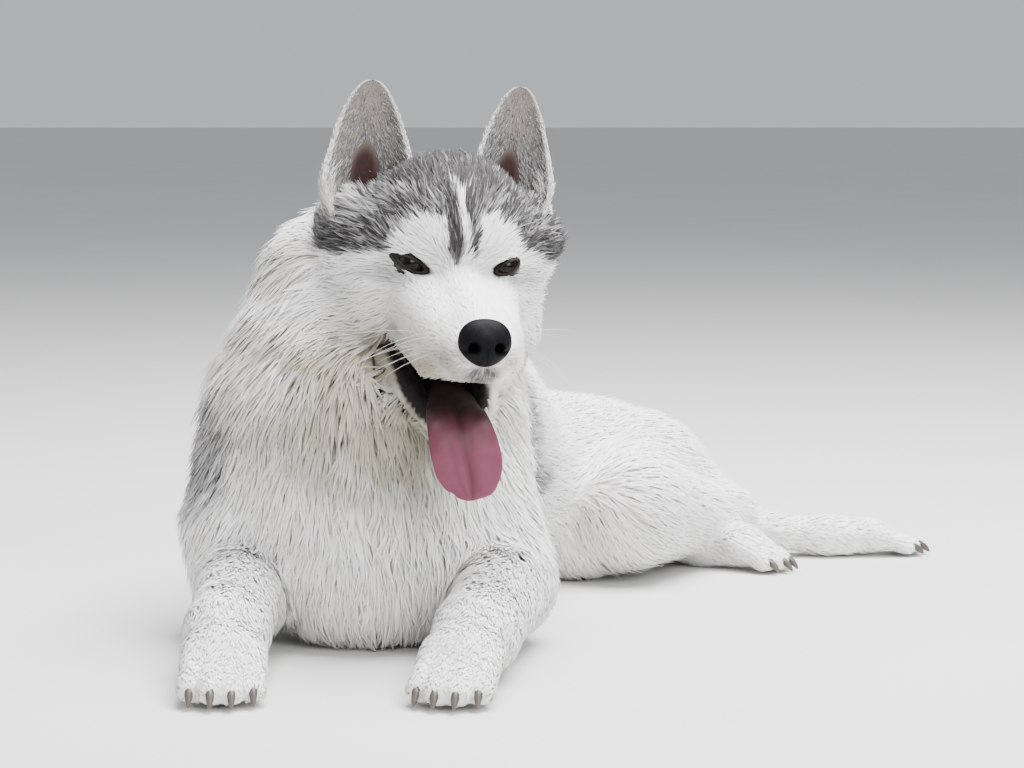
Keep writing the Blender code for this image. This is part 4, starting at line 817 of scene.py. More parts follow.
def tuft_sizes(chance, roots, pick):
    """Direction, length, height and width of the tuft at each root, and whether it is undercoat."""
    count, coat, on_leg = len(roots), quad_coat[pick], quad_on_leg[pick]
    normal = unit(quad_normal[pick])
    way = unit(quad_weight[pick] @ LIES)
    cross = np.cross(normal, way)
    clump = wave(roots, .020, 21) * .30 + wave(roots, .007, 22) * .16
    way = way + cross * (clump + chance.normal(0, LEAN, count))[:, None]
    way = unit(way - normal * (way * normal).sum(1, keepdims=True))
    length = tuft_length(coat) * chance.uniform(*LENGTH_SPREAD, count)
    stray = chance.random(count) < STRAYS
    share = chance.uniform(*HEIGHT_SPREAD, count) + stray * chance.uniform(*STRAY_RISE, count)
    height = skin_depth(coat) * share * (1 + .18 * wave(roots, .024, 23))
    height = np.minimum(height, (STEEPEST - LEG_FLATTER * on_leg) * length)
    width = tuft_width(coat) * chance.uniform(*WIDTH_SPREAD, count) * (1 + LEG_WIDER * on_leg)
    lower = chance.random(count) < UNDERCOAT
    width = np.where(lower, width * UNDERCOAT_WIDER, width)
    return way, length, np.where(lower, height * UNDERCOAT_LOWER, height), width, lower


def long_spines(roots, way, length, height, rings, size=40000):
    """The spines of many tufts, worked out a part at a time."""
    steps = np.linspace(0, 1, rings + 1)
    parts = [spines(roots[i:i + size], way[i:i + size], length[i:i + size], height[i:i + size], steps)
             for i in range(0, len(roots), size)]
    return np.concatenate([one for one, _ in parts]), np.concatenate([one for _, one in parts])


def coat_piece(name, members, seed, rings):
    """The coat over the eggs of these numbers: roots, lie of the hair, spines, solids and their values."""
    chance = np.random.default_rng(seed)
    quads = np.flatnonzero(np.isin(quad_weight.argmax(1), members) & (quad_count > 0))
    roots, pick = scatter(chance, quads, int(quad_count[quads].sum()))
    way, length, height, width, lower = tuft_sizes(chance, roots, pick)
    spine, out = long_spines(roots, way, length, height, rings)
    clear = np.ones(len(roots), bool)
    for points in (spine[:, 1], spine[:, -1]):
        clear &= (eye_opening(to_head(points)) > EYE_CLEAR) & (mouth_gap(points) > MOUTH_CLEAR)
    spine, out, roots, width, lower = (rows[clear] for rows in (spine, out, roots, width, lower))
    solids = tuft_solids(spine, out, width, np.where(lower, UNDERCOAT_RIDGE, TUFT_RIDGE))
    normals = soft_normals(solids, spine, out)
    solids[:, :, 2] = np.maximum(solids[:, :, 2], LOWEST)
    tone, clumped = chance.random(len(roots)), .5 + .5 * wave(roots, .0045, 24)
    tone = np.clip(.62 * tone + .38 * clumped, 0, 1)
    return tuft_piece(name, solids, rings, markings(spine[:, 1]), tone, patch_places(roots, members),
                      normals=normals)


def eggs_called(*names, test=lambda middle: True):
    """Numbers of the eggs of these names whose middle passes the test."""
    return [i for i, f in enumerate(coat_eggs) if f["name"] in names
            and test(f["start"] + f["axis"] * f["length"] / 2)]


print("eggs of the mane:", eggs_called("neck"))

# %% [markdown]
# The coat is made in 14 pieces, so that each can be used alone. The number after the eggs is how many rings a
# tuft has: long hair bends and needs three.

# %% All pieces of the coat
COAT_PIECES = {
    "muzzle_fur": (eggs_called("muzzle"), 2),
    "face_fur": (eggs_called("head"), 2),
    "jaw_fur": (eggs_called("jaw"), 2),
    "cheek_fur": (eggs_called("cheek"), 3),
    "mane_fur": (eggs_called("neck"), 3),
    "chest_fur": (eggs_called("chest"), 3),
    "shoulder_fur": (eggs_called("back", test=lambda m: m[2] > .18), 2),
    "rib_fur": (eggs_called("back", test=lambda m: m[2] < .18 and m[1] < .3), 2),
    "loin_fur": (eggs_called("back", test=lambda m: m[2] < .18 and m[1] > .3), 2),
    "rump_fur": (eggs_called("rump"), 2),
    "foreleg_right_fur": (eggs_called("leg", test=lambda m: m[1] < .2 and m[0] < -.12), 2),
    "foreleg_left_fur": (eggs_called("leg", test=lambda m: m[1] < .2 and m[0] > -.12), 2),
    "hindleg_fur": (eggs_called("leg", test=lambda m: m[1] >= .2), 2),
    "tail_fur": (eggs_called("tail"), 2),
}
COAT_SEED, EAR_SEED, WHISKER_SEED = 100, 200, 77
coat_pieces = {name: coat_piece(name, members, COAT_SEED + k, rings)
               for k, (name, (members, rings)) in enumerate(COAT_PIECES.items())}
print("coat:", sum(len(thing.data.polygons) for thing in coat_pieces.values()), "triangles")

# %% [markdown]
# An ear is a thin leaf bent into a cup that opens forward. It is worked out with two numbers: t from root to
# tip and s from one edge to the other. The same formula then carries the hair that grows on it.

# %% Ears
EAR_BASE = {1: np.array([.050, .080, .024]), -1: np.array([.063, .079, .024])}
EAR_TIP = {1: np.array([.059, .070, .139]), -1: np.array([.061, .070, .139])}
EAR_WIDTH = {1: .0388, -1: .0430}
EAR_WALL = 0.003
EAR_BEND, EAR_STRAIGHTENS = np.radians(118), 0.55
EAR_FLAT, EAR_SET_BACK = 0.62, 0.35
EAR_ROWS, EAR_ACROSS = 40, 26
HOLLOW_AT, HOLLOW_HALF = 0.36, (0.24, 0.20)


def ear_point(hand, t, s, out):
    """The ear at t up and s across: an arc of radius half / sin(bend) round its middle line, plus out."""
    root = 0.60 + 0.40 * np.sin(np.minimum(t / 0.40, 1) * math.pi / 2)
    half = EAR_WIDTH[hand] * np.sqrt(np.maximum(1 - t, 0)) * root + 0.0010
    bend = EAR_BEND * (1 - EAR_STRAIGHTENS * t)
    radius = half / np.sin(np.minimum(bend, math.pi / 2))
    middle = EAR_BASE[hand] + (EAR_TIP[hand] - EAR_BASE[hand]) * t[..., None]
    wall = (radius + out)[..., None]
    turned = np.stack([np.sin(s * bend), EAR_FLAT * np.cos(s * bend), 0 * s], -1)
    back = np.stack([0 * t, -EAR_SET_BACK * radius, 0 * t], -1)
    return from_head((middle + back + wall * turned) * [hand, 1, 1])


def ear_shell(hand):
    """Both sheets of an ear as one closed ring per row, with the inner one and its hollow marked."""
    t = 1 - (1 - np.linspace(0, 1, EAR_ROWS)) ** 1.5
    s = np.concatenate([np.linspace(-1, 1, EAR_ACROSS), np.linspace(1, -1, EAR_ACROSS)])
    out = np.repeat([EAR_WALL / 2, -EAR_WALL / 2], EAR_ACROSS)
    t2, s2 = np.broadcast_arrays(t[:, None], s[None, :])
    points = ear_point(hand, t2, s2, np.broadcast_to(out, t2.shape)).reshape(-1, 3)
    inner = np.broadcast_to(out < 0, t2.shape).ravel().astype(float)
    hollow = np.hypot(s2 / HOLLOW_HALF[0], (t2 - HOLLOW_AT) / HOLLOW_HALF[1])
    hollow = (1 - rise(hollow, .60, 1.45)).ravel() * inner
    faces = tube_faces(EAR_ROWS, 2 * EAR_ACROSS)
    if hand > 0:
        faces = faces[:, ::-1]
    name = "ear_left_skin" if hand > 0 else "ear_right_skin"
    return piece(name, points, faces, {"inner": inner, "hollow": hollow},
                 nodes=("ear_left" if hand > 0 else "ear_right",))


# how many, s from and to, t from and to, sheet, length, lift, lean, width, (grey, dark, cream with painted
# shade)
EAR_SETS = [(2300, 0, 1.0, .02, .99, 1, .0066, .16, 0, .0012, (.62, .42, .25)),
            (1500, 1.0, 1.0, .03, .995, 1, .0085, .34, .25, .0008, (.38, .15, .30)),
            (3600, .0, .99, .03, .98, -1, .0080, .20, .03, .0010, (.86, .36, .45)),
            (420, .66, .98, .0, .40, -1, .0140, .40, .3, .0010, (.06, .20, .40)),
            (360, .0, .85, .0, .12, -1, .0120, .34, .1, .0010, (.25, .55, .40))]


def ear_tufts(hand, chance, count, s_from, s_to, t_from, t_to, outside, length, lift, lean):
    """Tufts on one sheet: they point to the tip, lean to the middle line by lean, lift off by lift."""
    t = t_from + (t_to - t_from) * (1 - np.sqrt(chance.random(count)))
    s = chance.uniform(s_from, s_to, count) * np.where(chance.random(count) < .5, -1, 1)
    if outside < 0:
        furred = np.hypot(s / HOLLOW_HALF[0], (t - HOLLOW_AT) / HOLLOW_HALF[1]) > 1
        t, s = t[furred], s[furred]
        count = len(t)
    out = np.full(count, EAR_WALL / 2 * outside)
    root = ear_point(hand, t, s, out)
    up = unit(ear_point(hand, t + .01, s, out) - root)
    inward = unit(ear_point(hand, t, s * .97, out) - root) * lean
    normal = unit(root - ear_point(hand, t, s, -out))
    if s_from >= 1:
        out = chance.uniform(-EAR_WALL / 2, EAR_WALL / 2, count)
        root = ear_point(hand, t, s, out)
        normal = unit(root - ear_point(hand, t, s * .97, out))
    way = unit(up + inward + chance.normal(0, .14, (count, 3)))
    size = (length * chance.uniform(.7, 1.25, count) * np.clip(1.3 - t, .4, 1))[:, None]
    rows = [root - normal * .0008, root + way * size * .5 + normal * size * lift * .75,
            root + way * size + normal * size * lift]
    return np.stack(rows, 1), np.repeat(normal[:, None], 3, 1)


def ear_coat(hand, seed):
    """All the hair of one ear: outside, a fringe at both edges, soft grey inside, longer at the root."""
    chance = np.random.default_rng(seed)
    solids, marks, tones = [], [], []
    for *sizes, width, mark in EAR_SETS:
        spine, out = ear_tufts(hand, chance, *sizes)
        count = len(spine)
        solids.append(tuft_solids(spine, out, width * chance.uniform(.75, 1.2, count)))
        marks.append(np.tile(mark, (count, 1)) * chance.uniform(.7, 1.3, (count, 1)))
        tones.append(.25 + .40 * chance.random(count))
    solids, marks, tones = np.concatenate(solids), np.concatenate(marks), np.concatenate(tones)
    q = to_head(solids[:, 0]) * [hand, 1, 1]
    turn = np.arctan2(q[:, 1] - .070, q[:, 0] - .056) / (2 * math.pi) + .5
    places = .04 + .92 * np.clip(np.column_stack([turn, (q[:, 2] - .02) / .125]), 0, 1)
    name = "ear_left_fur" if hand > 0 else "ear_right_fur"
    return tuft_piece(name, solids, 2, marks.T, tones, places)


ear_skins = [ear_shell(hand) for hand in (1, -1)]
ear_furs = [ear_coat(hand, EAR_SEED + hand) for hand in (1, -1)]
print("ears:", [len(thing.data.polygons) for thing in ear_skins + ear_furs], "faces")

# %% [markdown]
# Now the skin itself becomes a piece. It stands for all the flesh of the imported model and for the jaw, and
# where no hair grows it is the black of lips and lids.

# %% The skin piece
skin = piece("skin", skin_points, skin_faces,
             {"bare": skin_bare, "grey": skin_marks[0], "dark": skin_marks[1], "cream_and_shade": skin_marks[2]},
             nodes=("head", "jaw", "neck", "torso", "tail", "foreleg_left", "foreleg_right", "forepaw_left",
                    "forepaw_right", "hindleg_left", "hindleg_right", "hindpaw_left", "hindpaw_right"))
print("skin triangles:", 2 * len(skin.data.polygons))

# %% [markdown]
# The eyeball is a ball with the slight bulge of the cornea. Its points know how far they are from the line of
# sight, so the material can paint pupil and iris. The lids are a black band laid on ball and skin round the
# almond of the opening: each of its points is found by marching from the front until it meets one of them.

# %% Eyes and lids
LOOK = {1: unit(np.array([.20, -1, -.10])), -1: unit(np.array([-.28, -1, -.10]))}
EYE_RINGS, EYE_AROUND = 30, 48
CORNEA_BULGE, CORNEA_ANGLE = .045, .5
ALMOND_HALF = {1: .0122, -1: .0151}
LID_UPPER, LID_LOWER = (.0048, 1.05), (-.0056, 1.2)
LID_AROUND = 72
MARCH_FROM, MARCH_STEPS, MARCH_SHARE = -.040, 34, .8
LID_SCALES = np.array([.66, .71, .80, .92, 1.04, 1.14])
LID_LIFTS = np.array([.0001, .0010, .0014, .0011, .0003, -.0012])


def eyeball(hand):
    """A ball about the eye's centre, radius * (1 + 0.045 * exp(-(angle / 0.5)^2)) from the line of sight."""
    polar = np.linspace(.02, math.pi - .02, EYE_RINGS)[:, None]
    turn = np.linspace(0, 2 * math.pi, EYE_AROUND, endpoint=False)[None, :]
    look = LOOK[hand]
    side = unit(np.cross(look, [0, 0, 1.0]))
    top = np.cross(side, look)
    radius = EYE_RADIUS * (1 + CORNEA_BULGE * np.exp(-(polar / CORNEA_ANGLE) ** 2))[..., None]
    ring = np.cos(turn)[..., None] * side + np.sin(turn)[..., None] * top
    ball = radius * (np.cos(polar)[..., None] * look + np.sin(polar)[..., None] * ring)
    from_sight = np.broadcast_to(np.where(polar < 1.6, np.sin(polar), 1.0), (EYE_RINGS, EYE_AROUND))
    points = from_head((EYE_AT * [hand, 1, 1] + ball).reshape(-1, 3))
    round_it = np.broadcast_to(turn, (EYE_RINGS, EYE_AROUND))
    name = "eye_left" if hand > 0 else "eye_right"
    return piece(name + "_ball", points, tube_faces(EYE_RINGS, EYE_AROUND),
                 {"from_sight": from_sight.ravel(), "fibre_x": np.cos(round_it).ravel(),
                  "fibre_y": np.sin(round_it).ravel()}, nodes=(name,))


def almond(hand, turn, scale):
    """Place (x, z) on the almond of the opening: flatter above than below, its outer corner higher."""
    across = np.cos(turn) * ALMOND_HALF[hand] * scale
    tall = np.abs(np.sin(turn))
    up = np.where(np.sin(turn) > 0, LID_UPPER[0] * tall ** LID_UPPER[1], LID_LOWER[0] * tall ** LID_LOWER[1])
    up = up * scale + .0008 * np.cos(turn)
    x = .0385 + across * math.cos(EYE_SLANT) - up * math.sin(EYE_SLANT)
    z = -.0004 + across * math.sin(EYE_SLANT) + up * math.cos(EYE_SLANT)
    return x * hand, z


def marched(hand, x, z, lift):
    """The first y, from the front, where eyeball or skin is lift away."""
    centre = from_head(EYE_AT * [hand, 1, 1])
    y = np.full(x.shape, MARCH_FROM)
    for _ in range(MARCH_STEPS):
        p = from_head(np.stack([x, y, z], -1).reshape(-1, 3))
        away = np.minimum(level(p), np.linalg.norm(p - centre, axis=1) - EYE_RADIUS - .0002)
        y = y + (away.reshape(x.shape) - lift) * MARCH_SHARE
    return y


def lids(hand):
    """The band of one eye's lids, its section closed behind so that it has no open edge."""
    turn = np.linspace(0, 2 * math.pi, LID_AROUND, endpoint=False)[:, None]
    x, z = almond(hand, turn, LID_SCALES[None, :])
    y = marched(hand, x, z, np.broadcast_to(LID_LIFTS[None, :], x.shape))
    front = np.stack([x, y, z], -1)
    back = front[:, [4, 1]] + [0, .0045, 0]
    ring = np.concatenate([front, back], 1)
    rows, columns = ring.shape[:2]
    r, c = np.meshgrid(np.arange(rows), np.arange(columns), indexing="ij")
    a, b = r * columns + c, ((r + 1) % rows) * columns + c
    a2, b2 = r * columns + (c + 1) % columns, ((r + 1) % rows) * columns + (c + 1) % columns
    faces = np.stack([a, b, b2, a2], -1).reshape(-1, 4)[:, ::-hand]
    name = "lids_left" if hand > 0 else "lids_right"
    return piece(name, from_head(ring.reshape(-1, 3)), faces)


eyeballs = [eyeball(hand) for hand in (1, -1)]
eyelids = [lids(hand) for hand in (1, -1)]
print("eyes:", [len(thing.data.vertices) for thing in eyeballs],
      "lids:", [len(thing.data.vertices) for thing in eyelids])

# %% [markdown]
# The nose leather is a rounded, flattened dome. Its nostrils are comma shapes pushed back into it, and a fine
# furrow runs down from between them.

# %% Nose
NOSE_ROWS, NOSE_AROUND = 44, 64
NOSE_HALF_WIDE, NOSE_HALF_TALL = .0204, .0178
NOSTRIL_OUT, NOSTRIL_HEIGHT, NOSTRIL_RADIUS = .0094, -.0545, .0038
NOSTRIL_DEPTH, SLIT_DEPTH, FURROW_DEPTH = .0088, .0036, .0011


def squarish(turn, power):
    """Cosine and sine of the turns, each to this power with its sign kept: an oval with fuller corners."""
    c, s = np.cos(turn), np.sin(turn)
    return np.sign(c) * np.abs(c) ** power, np.sign(s) * np.abs(s) ** power


def nose_leather():
    """Rings from back to front, half-size * sin(pi * t)^0.44, dented at the nostrils and along the furrow."""
    t = 1 - (1 - np.linspace(0, 1, NOSE_ROWS)) ** 2.2
    swell = np.sin(np.clip(.06 + .935 * t, 0, 1) * math.pi) ** .44
    turn = np.linspace(0, 2 * math.pi, NOSE_AROUND, endpoint=False)
    across, above = squarish(turn, .86)
    taper = 1 - .34 * np.clip(-np.sin(turn), 0, 1) ** 1.5
    x = swell[:, None] * NOSE_HALF_WIDE * (across * taper)[None, :]
    z = (-.0500 - .003 * t)[:, None] + swell[:, None] * NOSE_HALF_TALL * above[None, :]
    y = np.broadcast_to((-.084 - .0222 * t)[:, None], x.shape).copy()
    facing = rise(-y, .094, .100)
    holes = []
    for hand in (1, -1):
        hole = np.hypot((x - hand * NOSTRIL_OUT) / NOSTRIL_RADIUS, (z - NOSTRIL_HEIGHT) / NOSTRIL_RADIUS)
        slit = np.hypot((x - hand * .0138 + hand * .3 * (z + .057)) / .0044, (z + .0572) / .0019)
        y += facing * (NOSTRIL_DEPTH * np.exp(-1.3 * hole ** 4) + SLIT_DEPTH * np.exp(-1.3 * slit ** 2))
        holes.append(hole.ravel())
    y += facing * FURROW_DEPTH * np.exp(-(x / .0010) ** 2) * rise(-z, .0500, .0560)
    y += .0009 * np.exp(-(x / .0035) ** 2) * rise(z, -.046, -.040) * facing
    points = from_head(np.stack([x, y, z], -1).reshape(-1, 3))
    depth = np.minimum(*holes)
    return piece("nose_leather", points, tube_faces(NOSE_ROWS, NOSE_AROUND), {"open": np.exp(-depth ** 3)},
                 nodes=("nose",))


nose = nose_leather()
print("nose:", len(nose.data.polygons), "triangles")

# %% [markdown]
# The tongue is a flat oval carried along a curve: out of the mouth, over the front of the jaw and down. Each
# key row of the curve gives a place, half the width and half the thickness.

# %% Tongue
TONGUE_KEYS = np.array([(-.001, .030, -.098, .012, .0050), (-.003, .000, -.104, .020, .0070),
                        (-.006, -.030, -.111, .022, .0075), (-.009, -.052, -.112, .0235, .0070),
                        (-.009, -.066, -.120, .0255, .0062), (-.006, -.072, -.135, .0270, .0056),
                        (-.002, -.073, -.150, .0256, .0050), (.0004, -.0726, -.1625, .0195, .0040),
                        (.0008, -.0722, -.1695, .0118, .0029), (.0010, -.0720, -.1722, .0040, .0014)])
TONGUE_ROWS, TONGUE_AROUND = 72, 40


def smooth_rows(keys, count):
    """A smooth curve through the key rows, by cubic pieces, sampled evenly in its parameter."""
    padded = np.concatenate([2 * keys[:1] - keys[1:2], keys, 2 * keys[-1:] - keys[-2:-1]])
    t = np.linspace(0, len(keys) - 1, count)
    i = np.minimum(t.astype(int), len(keys) - 2)
    w = (t - i)[:, None]
    a, b, c, d = padded[i], padded[i + 1], padded[i + 2], padded[i + 3]
    bend = (2 * a - 5 * b + 4 * c - d) * w ** 2
    return 0.5 * (2 * b + (c - a) * w + bend + (3 * b - a - 3 * c + d) * w ** 3)


def tongue():
    """Flat ovals along the path, dented above by a groove exp(-(across / 0.075)^2) and a fold beside it."""
    rows = smooth_rows(TONGUE_KEYS, TONGUE_ROWS)
    path, wide, thick = rows[:, :3], rows[:, 3], rows[:, 4]
    ahead = unit(np.gradient(path, axis=0))
    right = np.tile([1.0, 0, 0], (len(path), 1))
    up = unit(np.cross(ahead, right))
    right = np.cross(up, ahead)
    across, above = squarish(np.linspace(0, 2 * math.pi, TONGUE_AROUND, endpoint=False), .80)
    t = np.linspace(0, 1, TONGUE_ROWS)[:, None]
    groove = np.exp(-((across[None, :] - .04 * np.sin(9 * t)) / .075) ** 2)
    groove = groove * (1 - rise(t, .94, 1.0)) * rise(t, .1, .4)
    side = np.exp(-((across[None, :] + .42) / .07) ** 2) * rise(t, .45, .6) * (1 - rise(t, .80, .92)) * .3
    lift = thick[:, None] * above[None, :] * (1 - .62 * groove - side)
    lift = lift + .0012 * np.sin(14 * t) * across[None, :]
    shape = (path[:, None] + (wide[:, None] * across[None, :])[:, :, None] * right[:, None]
             - lift[:, :, None] * up[:, None])
    along = np.broadcast_to(t, lift.shape)
    faces = tube_faces(TONGUE_ROWS, TONGUE_AROUND)[:, ::-1]
    return piece("tongue_flesh", from_head(shape.reshape(-1, 3)), faces,
                 {"along": along.ravel(), "groove": np.clip(groove + side, 0, 1).ravel()},
                 nodes=("tongue",))


tongue_piece = tongue()
print("tongue:", len(tongue_piece.data.polygons), "triangles")

# %% [markdown]
# Teeth, claws and whiskers are all the same shape, a bent spike, only with other sizes. One function makes a
# whole set of them at once.

# %% Teeth, claws and whiskers


def bent_spikes(roots, way, bend, length, radius, rings, around, blunt):
    """Spikes root + (way * t + bend * t^2) * length, radius * (1 - t^2)^blunt: points, faces and t."""
    t = np.linspace(0, .985, rings)
    swing = way[:, None] * t[:, None] + bend[:, None] * t[:, None] ** 2
    middle = roots[:, None] + swing * length[:, None, None]
    ahead = unit(np.gradient(middle, axis=1))
    side = unit(np.cross(ahead, np.array([.13, .21, .97])))
    top = np.cross(side, ahead)
    turn = np.linspace(0, 2 * math.pi, around, endpoint=False)
    size = (radius[:, None] * (1 - t ** 2) ** blunt)[:, :, None, None]
    ring = np.cos(turn)[:, None] * side[:, :, None] + np.sin(turn)[:, None] * top[:, :, None]
    points = (middle[:, :, None] + size * ring).reshape(-1, 3)
    one = tube_faces(rings, around)[:, ::-1]
    faces = (one[None] + (np.arange(len(roots)) * rings * around)[:, None, None]).reshape(-1, 3)
    return points, faces, np.tile(np.repeat(t, around), len(roots))


TEETH = np.array([(.0140, -.043, -.121, .0165, .0032), (.0185, -.026, -.116, .0078, .0026),
                  (.0235, -.013, -.110, .0082, .0029), (.0285, .000, -.104, .0086, .0032),
                  (.0340, .014, -.098, .0090, .0036)])
CLAW_LENGTH, CLAW_RADIUS, CLAW_TIP_HEIGHT = .0115, .0036, .0030
# root in the head's frame, length, direction
BROW_AND_CHIN = [(.030, .006, .024, .034, .45, -.30, .75), (.036, .010, .024, .030, .60, -.20, .75),
                 (.008, -.048, -.135, .020, .35, -.20, -1.0)]
WHISKER_RADIUS, WHISKER_RINGS, WHISKER_AROUND = .00013, 12, 5


def lower_teeth():
    """Canine and four smaller teeth on each side, leaning out a little and bent back."""
    both = np.concatenate([TEETH, TEETH * [-1, 1, 1, 1, 1]])
    way = unit(np.column_stack([np.sign(both[:, 0]) * .10, np.full(len(both), -.12), np.ones(len(both))]))
    bend = np.tile([0, .15, 0], (len(both), 1))
    points, faces, t = bent_spikes(both[:, :3], way, bend, both[:, 3], both[:, 4], 12, 12, .62)
    return piece("lower_teeth", from_head(points), faces, {"along": t})


def claws():
    """A horn claw before each toe, its tip bent down to the floor."""
    ends = np.array([f["start"] + f["axis"] * f["length"] for f in toes])
    ahead = unit(np.array([f["axis"] * [1, 1, 0] for f in toes]))
    toe_radius = np.array([f["r_end"] for f in toes])
    roots = ends + ahead * (toe_radius * .45)[:, None] + [0, 0, .0015]
    length, radius = np.full(len(toes), CLAW_LENGTH), np.full(len(toes), CLAW_RADIUS)
    bend = np.array([0, 0, 1.0]) * ((CLAW_TIP_HEIGHT - roots[:, 2]) / length)[:, None]
    points, faces, t = bent_spikes(roots, ahead, bend, length, radius, 9, 10, .50)
    points[:, 2] = np.maximum(points[:, 2], LOWEST)
    return piece("claws", points, faces, {"along": t})


def whiskers():
    """White whiskers in rows on the pads, a few over the eyes and on the chin, bent by their weight."""
    chance = np.random.default_rng(WHISKER_SEED)
    rows = [(.031 - .0012 * j, -.040 - .011 * i, -.050 - .0065 * j, .052 - .003 * i, .95, .50 - .18 * i,
             -.08 - .14 * j) for i in range(3) for j in range(3)]
    rows = np.array(rows + BROW_AND_CHIN)
    both = np.concatenate([rows, rows * [-1, 1, 1, 1, -1, 1, 1]])
    roots = settled(from_head(both[:, :3]), rounds=6, farthest=.004)
    way = both[:, 4:] + chance.normal(0, .12, (len(both), 3))
    way = unit(way) @ HEAD_TURN.T
    bend = np.tile([0, .10, -.22], (len(both), 1)) + chance.normal(0, .05, (len(both), 3))
    length = both[:, 3] * chance.uniform(.8, 1.15, len(both))
    radius = np.full(len(both), WHISKER_RADIUS)
    points, faces, t = bent_spikes(roots, way, bend, length, radius, WHISKER_RINGS, WHISKER_AROUND, .9)
    return piece("whiskers", points, faces, {"along": t})


tooth_piece, claw_piece, whisker_piece = lower_teeth(), claws(), whiskers()
print("claws:", len(toes), "whiskers:",
      len(whisker_piece.data.vertices) // (WHISKER_RINGS * WHISKER_AROUND))

# %% [markdown]
# Materials are built from a few small helpers, so that each of them reads as a sum of what it is made of.

# %% Helpers for materials


def node(tree, kind, inputs=None, **settings):
    """A node of this kind; each input is given a socket to link, or a plain value."""
    made = tree.nodes.new(kind)
    for key, value in settings.items():
        setattr(made, key, value)
    for key, value in (inputs or {}).items():
        if isinstance(value, bpy.types.NodeSocket):
            tree.links.new(value, made.inputs[key])
        else:
            made.inputs[key].default_value = value
    return made


def calc(tree, operation, a, b=0.0, c=0.0, clamp=False):
    """One sum, product or other step on numbers."""
    return node(tree, "ShaderNodeMath", {0: a, 1: b, 2: c}, operation=operation, use_clamp=clamp).outputs[0]


def mixed(tree, share, a, b, way="MIX"):
    """Colour a mixed with colour b by the share."""
    return node(tree, "ShaderNodeMix", {0: share, 6: a, 7: b}, data_type="RGBA", blend_type=way).outputs[2]


def stored(tree, key):
    """A number stored on the points under this name."""
    return node(tree, "ShaderNodeAttribute", attribute_name=key).outputs["Fac"]


def noise(tree, scale, detail=3.0):
    """Noise in the object's own space."""
    place = node(tree, "ShaderNodeTexCoord").outputs["Object"]
    return node(tree, "ShaderNodeTexNoise", {"Vector": place, "Scale": scale, "Detail": detail,
                                             "Roughness": 0.55}).outputs["Fac"]


def bumped(tree, height, strength, distance):
    """A bump normal from the height."""
    return node(tree, "ShaderNodeBump", {"Height": height, "Strength": strength,
                                         "Distance": distance}).outputs[0]


def material(name, **sockets):
    """A material with one principled shader, its plain values set on the shader's own sockets."""
    made = bpy.data.materials.new(name)
    made.use_nodes = True
    shader = made.node_tree.nodes["Principled BSDF"]
    for key, value in sockets.items():
        shader.inputs[key.replace("_", " ")].default_value = value
    return made, made.node_tree, shader


def feed(tree, shader, **sockets):
    """Link sockets to the shader's inputs."""
    for key, value in sockets.items():
        tree.links.new(value, shader.inputs[key.replace("_", " ")])


def dress(made, *things):
    """Give the material to the pieces."""
    for thing in things:
        thing.data.materials.clear()
        thing.data.materials.append(made)


print("helpers ready")

# %% [markdown]
# The coat's colour is one node group that reads the values stored on the points: how grey and how dark the
# place is, how much cream tint and painted shade it has, how far along its tuft a point lies, and a tone that
# differs from tuft to tuft. A grey hair is banded: pale at its root, dark toward the tip, which speckles the
# cap and the saddle.

# %% Colour of the coat
# White hair is a little warmer at its root, and a little darker there as painted shade deep in the coat.
PALE_ROOT_SHADED, PALE_TIP = (.93, .915, .89, 1), (.965, .96, .95, 1)
# The cream colours are dark, so the cream value also paints the shade under the head and in the ruff.
CREAM_SHADE_ROOT, CREAM_SHADE_TIP = (.28, .255, .20, 1), (.42, .39, .315, 1)
GREY_LIGHT, GREY_DARK = (.50, .49, .50, 1), (.024, .022, .024, 1)
STREAK = (.40, .37, .34, 1)
LIPS = (.006, .005, .006, 1), (.022, .015, .016, 1)

coat_colour = bpy.data.node_groups.new("coat_colour", "ShaderNodeTree")
for key in ("Grey", "Dark", "Cream_and_shade", "Along", "Tone"):
    coat_colour.interface.new_socket(key, in_out="INPUT", socket_type="NodeSocketFloat")
coat_colour.interface.new_socket("Colour", in_out="OUTPUT", socket_type="NodeSocketColor")
given = coat_colour.nodes.new("NodeGroupInput").outputs
pale = mixed(coat_colour, given["Along"], PALE_ROOT_SHADED, PALE_TIP)
shaded_cream = mixed(coat_colour, given["Along"], CREAM_SHADE_ROOT, CREAM_SHADE_TIP)
white = mixed(coat_colour, given["Cream_and_shade"], pale, shaded_cream)
lit = calc(coat_colour, "MULTIPLY_ADD", given["Tone"], .07, .94)
white = mixed(coat_colour, 1.0, white, node(coat_colour, "ShaderNodeCombineColor",
                                            {0: lit, 1: lit, 2: lit}).outputs[0], "MULTIPLY")
shade = calc(coat_colour, "MULTIPLY_ADD", given["Dark"], 1.0, -.36)
shade = calc(coat_colour, "MULTIPLY_ADD", given["Tone"], .95, shade)
shade = calc(coat_colour, "MULTIPLY_ADD", given["Along"], .30, shade, clamp=True)
banded = mixed(coat_colour, shade, GREY_LIGHT, GREY_DARK)
speckled = calc(coat_colour, "MULTIPLY_ADD", given["Tone"], .55, -.275)
amount = calc(coat_colour, "ADD", given["Grey"], calc(coat_colour, "MULTIPLY", speckled, calc(
    coat_colour, "MULTIPLY_ADD", given["Dark"], -.55, given["Grey"], clamp=True)), clamp=True)
colour = mixed(coat_colour, amount, white, banded)
node(coat_colour, "NodeGroupOutput", {"Colour": colour})


